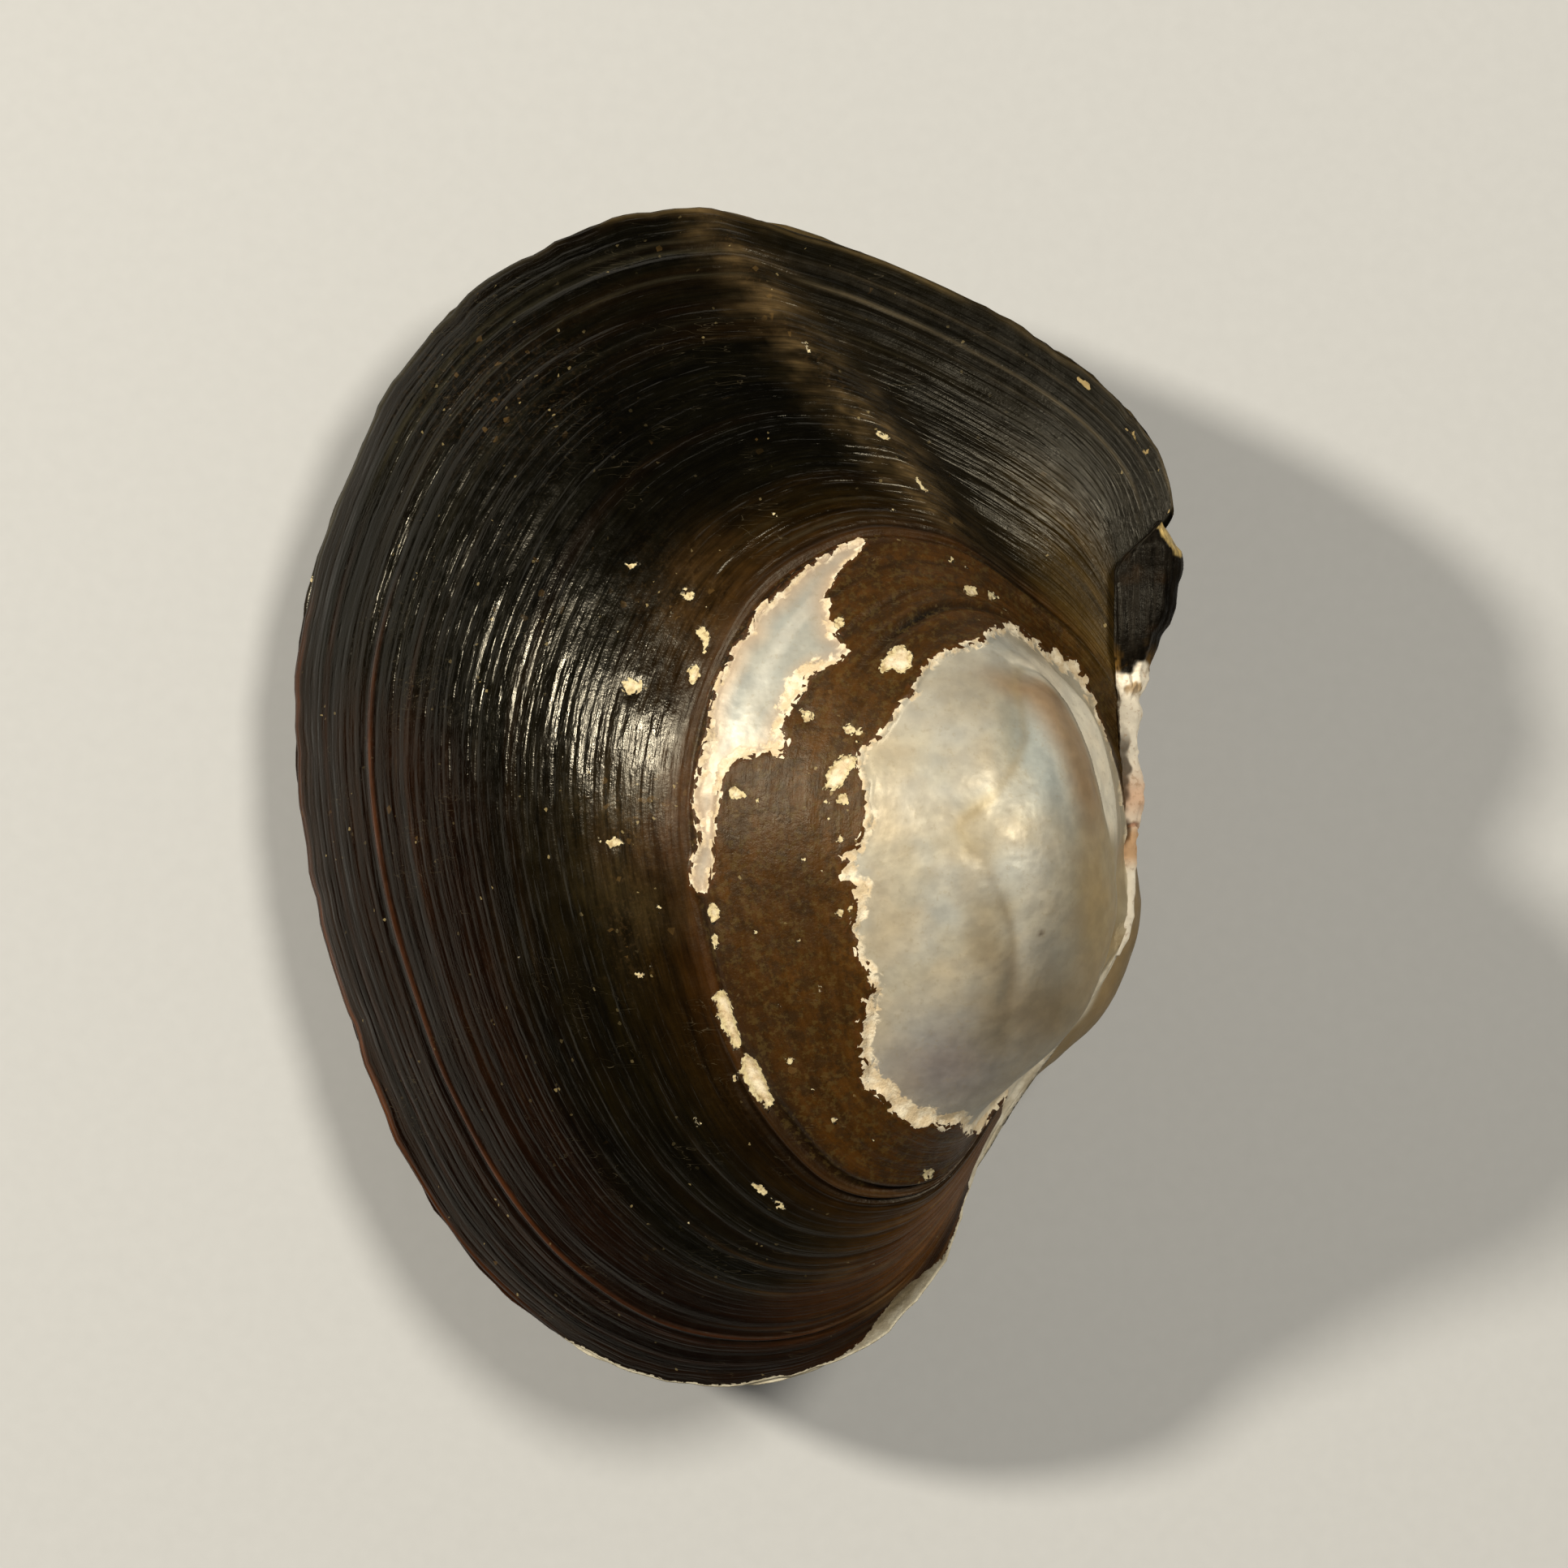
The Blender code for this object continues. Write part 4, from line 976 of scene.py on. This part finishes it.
    strip = n.span(strip_edge, 0.03, -0.03)
    chalk = n.mix(n.mul(n.math("SUBTRACT", 1.0, uncovered), n.span(n.value("fleck"), -0.45, -0.10, 0.1, 0.75)), chalk, yellow)
    seam = n.mix(1.0, n.colour("pearl"), (0.80, 0.77, 0.72), "MULTIPLY")
    chalk = n.mix(strip, chalk, n.mix(n.span(small, 0.40, 0.62), n.colour("pearl"), seam))
    chalky = n.math("MAXIMUM", n.math("MAXIMUM", rim, fleck), strip)
    off = n.math("MAXIMUM", n.math("MAXIMUM", uncovered, fleck), strip)  # where the skin is gone

    # a thin brown line of torn skin right at the edge
    torn = n.mul(n.span(edge, 0.30, 0.04), n.span(edge, -0.02, 0.03))
    skin = n.mix(n.mul(torn, 0.5), skin, tuple(lin(78, 44, 16)))

    colour = n.mix(off, skin, n.mix(chalky, pearl, chalk))

    # ---- roughness and fine relief
    rough_skin = n.add(n.span(fine, 0.3, 0.7, 0.12, 0.22, False), n.mul(n.value("dull"), 0.24))
    rough_skin = n.add(rough_skin, n.add(n.span(small, 0.35, 0.7, -0.02, 0.08, False), n.mul(scuff, 0.10)))
    rough_pearl = n.span(n.noise(place, 0.9, 3.0), 0.35, 0.7, 0.38, 0.50, False)
    rough = n.add(n.mul(rough_pearl, off), n.mul(rough_skin, n.math("SUBTRACT", 1.0, off)))
    rough = n.add(n.mul(n.math("SUBTRACT", 1.0, chalky), rough), n.mul(chalky, 0.75))

    calm = n.math("SUBTRACT", 1.0, n.mul(n.value("dull"), 0.55))
    relief_skin = n.add(n.mul(fine, 0.036), n.add(n.mul(finest, 0.026), n.add(n.mul(grain, 0.014), n.mul(n.noise(place, 6.5, 2.0), 0.010))))
    relief_skin = n.add(relief_skin, n.mul(n.mul(thread, calm), 0.030))
    relief_skin = n.add(relief_skin, n.mul(n.mul(n.noise(place, 2.2, 4.0, 0.65), young), 0.050))
    relief_pearl = n.add(n.mul(n.noise(place, 0.60, 2.0, 0.5), 0.11), n.mul(n.noise(place, 5.0, 2.0), 0.005))
    relief_chalk = n.add(n.mul(n.noise(place, 3.0, 3.0, 0.6), 0.07), n.mul(coarse_cell, 0.05))
    covered = n.math("SUBTRACT", 1.0, off)
    relief = n.add(n.mul(relief_skin, covered), n.mul(relief_pearl, n.math("SUBTRACT", off, chalky)))
    relief = n.add(relief, n.mul(relief_chalk, chalky))
    relief = n.add(relief, n.mul(covered, 0.12))
    bump = n.node("ShaderNodeBump", Strength=1.0, Distance=0.001, Height=relief)

    shader = n.node("ShaderNodeBsdfPrincipled", Base_Color=colour, Roughness=rough, Normal=bump.outputs[0])
    n.tree.links.new(n.mul(n.math("SUBTRACT", off, chalky, clamp=True), 0.19), shader.inputs["Metallic"])
    shader.inputs["IOR"].default_value = 1.50
    shader.inputs["Specular IOR Level"].default_value = 0.21
    shader.inputs["Specular Tint"].default_value = (1.0, 0.93, 0.76, 1.0)
    return n.finish(shader.outputs[0])


# ---- the ligament ---------------------------------------------------------------------------------------------
def hinge_line(y):
    edge = valve_surface(np.linspace(0.02, 1.0, 300), np.ones(300))
    return np.interp(y, edge[:, 1], edge[:, 0])


def ligament_piece(name, seed):
    """Worn hinge strip in front and the dark horny band behind, one lofted mesh."""
    steps, around = 380, 84
    front, back = -2.6, 26.4
    y = np.linspace(front, back, steps)[:, None] + np.zeros((1, around))
    a = np.linspace(0.0, 2.0 * math.pi, around, endpoint=False)[None] + np.zeros((steps, 1))
    horn = ease(y, 14.9, 17.0)
    line = np.where(y < 0.6, 0.33 * (y - 0.6) + 0.2, hinge_line(y))
    crest = np.interp(y, [-2.6, -1.5, 0.0, 1.5, 3.2, 5.0, 9.0, 14.6, 16.2, 17.9, 19.5, 21.4, 23.2, 24.4, 26.4], [-0.60, 0.00, 0.38, 0.46, 0.52, 0.80, 0.86, 0.84, 1.18, 1.95, 2.65, 3.15, 3.35, 3.30, 2.3])
    crest = crest + 0.16 * fractal(np.stack([y, y * 0.0, y * 0.0], -1), 1.7, seed + 12, 2) * ease(y, 2.0, 5.0)
    wide = (1.05 + 0.75 * ease(y, 14.9, 19.0)) * (1.0 - 0.45 * ease(y, 24.6, 26.4)) * (1.0 - 0.45 * (1.0 - ease(y, 2.2, 5.0)))
    base = line - 0.45 - 0.10 * horn
    c, s = np.cos(a), np.sin(a)
    z = wide * np.sign(c) * np.abs(c) ** 0.85
    top = s > 0
    x = np.where(top, base + (crest - base) * np.abs(s) ** 0.85, base - 0.25 * np.abs(s))
    points = np.stack([x, y, z], -1)
    # lengthwise ridges on the horn, a cracked crumbling surface on the strip
    turned = np.stack([a * 3.0, y * 0.0, y * 0.0], -1)
    ridges = 0.13 * lattice(np.stack([a * 3.6, y * 0.10, y * 0.0], -1), 1.0, seed) + 0.04 * lattice(
        np.stack([a * 9.0, y * 0.2, y * 0.0], -1), 1.0, seed + 1
    )
    chips = 0.16 * fractal(points, 1.1, seed + 2, 3) * (0.4 + 0.6 * ease(y, 2.0, 5.0))
    outward = np.stack([np.where(top, s, -1.0), np.zeros_like(a), c], -1)
    outward /= np.linalg.norm(outward, axis=-1, keepdims=True)
    lift = ridges * horn + chips * (0.25 + 0.75 * (1 - horn))
    lift += -0.25 * gauss(y, 5.9 + 0.25 * np.sin(a * 2.0), 0.14)  # the crack
    lift += 0.20 * gauss(y, 15.6 + 0.8 * lattice(turned, 0.7, seed + 3), 0.5) * top  # broken front edge of the horn
    lift += 0.20 * np.maximum(0, lattice(points, (0.7, 4.5, 0.7), seed + 6)) * ease(y, 16.0, 18.0) * (1 - ease(y, 25.0, 26.2))
    points = points + outward * lift[..., None]
    verts = points.reshape(-1, 3)
    ends = np.array([points[0].mean(0), points[-1].mean(0)])
    verts = np.vstack([verts, ends])
    faces = []
    for r in range(steps - 1):
        for k in range(around):
            k1 = (k + 1) % around
            faces.append((r * around + k, r * around + k1, (r + 1) * around + k1, (r + 1) * around + k))
    n0 = steps * around
    faces += [(n0, (k + 1) % around, k) for k in range(around)]
    faces += [(n0 + 1, (steps - 1) * around + k, (steps - 1) * around + (k + 1) % around) for k in range(around)]
    mesh = bpy.data.meshes.new(name)
    mesh.from_pydata(world(verts).tolist(), [], faces)
    mesh.validate()
    mesh.shade_smooth()

    # the horn is near black; the lighter streaks along its fibres that are mixed over it are painted sheen
    dark, painted_sheen = lin(17, 13, 8), lin(44, 38, 28)
    horny = over(np.zeros(points.shape) + dark, painted_sheen, ease(lattice(np.stack([a * 5.0, y * 0.2, y * 0.0], -1), 1.0, seed + 4), 0.25, 0.8) * 0.4)
    horny = over(horny, lin(48, 32, 14), 0.4 * ease(fractal(points, 1.6, seed + 5, 2), 0.2, 0.8))
    flake = ease(gauss(y, 25.2, 1.1) * gauss(z, 0.5, 0.9) + 0.30 * fractal(points, 0.8, seed + 10, 2), 0.42, 0.58) * top
    horny = over(horny, lin(190, 164, 104), flake)
    golden = gauss(y, 15.9, 1.3) * ease(fractal(points, 0.8, seed + 7, 3), -0.05, 0.35)
    horny = over(horny, lin(150, 112, 52), 0.9 * golden)
    chalk = over(np.zeros(points.shape) + lin(236, 226, 206), lin(220, 176, 142), gauss(y, 8.0, 1.5) * 0.8)
    chalk = over(chalk, lin(208, 160, 112), 0.85 * (1 - ease(y, 5.4, 6.6)) * ease(y, 2.8, 4.2))
    chalk = over(chalk, lin(150, 84, 48), 0.7 * gauss(y, 5.9 + 0.25 * np.sin(a * 2.0), 0.16))
    chalk = over(chalk, lin(140, 108, 56), 0.8 * gauss(y, 15.4, 0.9) * ease(fractal(points, 0.8, seed + 14, 3), -0.2, 0.3))
    chalk = chalk * (1.0 + 0.10 * fractal(points, 0.9, seed + 8, 2))[..., None]
    side_line = ease(np.abs(z) + 0.10 * fractal(points, 0.9, seed + 13, 2), 0.97, 1.05)
    chalk = over(chalk, lin(58, 42, 24), 0.85 * side_line * (1.0 - ease(y, 11.0, 13.0)))
    border = ease(y - 0.5 * ease(z, 0.2, 1.3) + 0.9 * fractal(points, 1.2, seed + 9, 3), 15.7, 16.3)
    colour = chalk + (horny - chalk) * border[..., None]
    flat = np.clip(colour.reshape(-1, 3), 0, 1)
    flat = np.vstack([flat, flat[:1], flat[-1:]])
    made = mesh.attributes.new("skin", "FLOAT_COLOR", "POINT")
    made.data.foreach_set("color", np.concatenate([flat, np.ones((len(flat), 1))], 1).astype(np.float32).ravel())
    made = mesh.attributes.new("horn", "FLOAT", "POINT")
    edge = border.reshape(-1)
    made.data.foreach_set("value", np.concatenate([edge, edge[:1], edge[-1:]]).astype(np.float32))
    obj = bpy.data.objects.new(name, mesh)
    bpy.context.scene.collection.objects.link(obj)
    return obj


def ligament_material(name):
    n = Nodes(name)
    where = n.node("ShaderNodeNewGeometry").outputs["Position"]
    place = n.node("ShaderNodeVectorMath", set_operation="SCALE", i0=where, Scale=1000.0).outputs[0]
    stretch = n.node("ShaderNodeMapping", Scale=(2.2, 0.22, 2.2))
    n.tree.links.new(place, stretch.inputs["Vector"])
    fibre = n.noise(stretch.outputs[0], 1.6, 3.0, 0.6)
    grain = n.noise(place, 3.0, 3.0, 0.6)
    horn = n.value("horn")
    level = n.span(fibre, 0.3, 0.7, 0.3, 1.2, False)
    dark = n.mix(1.0, n.colour("skin"), n.combine(level, level, level), "MULTIPLY")
    chalk = n.mix(n.mul(n.span(grain, 0.52, 0.70), 0.4), n.colour("skin"), tuple(lin(150, 108, 66)))
    colour = n.mix(horn, chalk, dark)
    rough = n.add(n.mul(horn, n.span(fibre, 0.3, 0.7, -0.50, -0.30, False)), 0.8)
    relief = n.add(n.mul(fibre, n.mul(horn, 0.08)), n.mul(grain, 0.05))
    bump = n.node("ShaderNodeBump", Strength=1.0, Distance=0.001, Height=relief)
    shader = n.node("ShaderNodeBsdfPrincipled", Base_Color=colour, Roughness=rough, Normal=bump.outputs[0])
    shader.inputs["IOR"].default_value = 1.5
    shader.inputs["Specular IOR Level"].default_value = 0.10
    shader.inputs["Specular Tint"].default_value = (1.0, 0.93, 0.76, 1.0)
    return n.finish(shader.outputs[0])


# ---- build ----------------------------------------------------------------------------------------------------
shell_skin = valve_material("periostracum_over_pearl")
right = build_valve("right_valve_shell", 1, 101)
left = build_valve("left_valve_shell", -1, 707)
ligament = ligament_piece("hinge_ligament_horn", 31)
right.data.materials.append(shell_skin)
left.data.materials.append(shell_skin)
ligament.data.materials.append(ligament_material("dried_horn"))

for piece, node, slot in (
    (right, "right_valve", "shell_valve"),
    (left, "left_valve", "shell_valve"),
    (ligament, "hinge_ligament", "ligament_horn"),
):
    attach(piece, "root")
    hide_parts(node)

# ---- floor, light, camera -------------------------------------------------------------------------------------
floor_mesh = bpy.data.meshes.new("floor")
floor_mesh.from_pydata([(-3, -3, 0), (3, -3, 0), (3, 3, 0), (-3, 3, 0)], [], [(0, 1, 2, 3)])
floor = bpy.data.objects.new("floor", floor_mesh)
bpy.context.scene.collection.objects.link(floor)
f = Nodes("pale_floor")
paper = f.noise(f.node("ShaderNodeNewGeometry").outputs["Position"], 900.0, 2.0)
tone = f.mix(paper, (0.47, 0.475, 0.475), (0.50, 0.505, 0.505))
floor_mesh.materials.append(f.finish(f.node("ShaderNodeBsdfPrincipled", Base_Color=tone, Roughness=0.8).outputs[0]))


def soft_light(name, direction, distance, size, watts, colour=(1.0, 1.0, 1.0)):
    """direction is from the shell to the light, in shell axes."""
    data = bpy.data.lights.new(name, "AREA")
    data.shape = "DISK"
    data.size = size
    data.energy = watts
    data.color = colour
    lamp = bpy.data.objects.new(name, data)
    way = Vector(TURN @ np.array(direction, float)).normalized()
    target = Vector(world([[-25.0, 6.0, 8.0]])[0])
    lamp.location = target + way * distance
    lamp.rotation_mode = "QUATERNION"
    lamp.rotation_quaternion = way.to_track_quat("Z", "Y")
    bpy.context.scene.collection.objects.link(lamp)


soft_light("key", (-0.565, 0.255, 0.785), 0.9, 0.10, 9.6, (1.0, 0.93, 0.80))
soft_light("fill", (0.505, 0.265, 0.82), 0.9, 0.26, 5.9, (1.0, 0.94, 0.82))

background = bpy.data.worlds.new("studio")
background.use_nodes = True
background.node_tree.nodes["Background"].inputs["Color"].default_value = (1.0, 0.98, 0.95, 1.0)
background.node_tree.nodes["Background"].inputs["Strength"].default_value = 0.06
bpy.context.scene.world = background
bpy.context.scene.view_settings.view_transform = "Standard"
bpy.context.scene.view_settings.look = "None"

camera_data = bpy.data.cameras.new("camera")
camera_data.sensor_fit = "HORIZONTAL"
camera_data.sensor_width = 36.0
camera_data.lens = 36.0 * VIEW_DISTANCE / (FRAME_WIDE * UNIT_MM)
camera_data.clip_start = 0.01
camera_data.clip_end = 20.0
camera = bpy.data.objects.new("camera", camera_data)
turned = np.stack([TURN @ RIGHT, TURN @ UP, TURN @ BACK], 1)
camera.matrix_world = Matrix.Translation(Vector(world([EYE])[0])) @ Matrix(turned.tolist()).to_4x4()
bpy.context.scene.collection.objects.link(camera)
bpy.context.scene.camera = camera

bpy.context.view_layer.update()
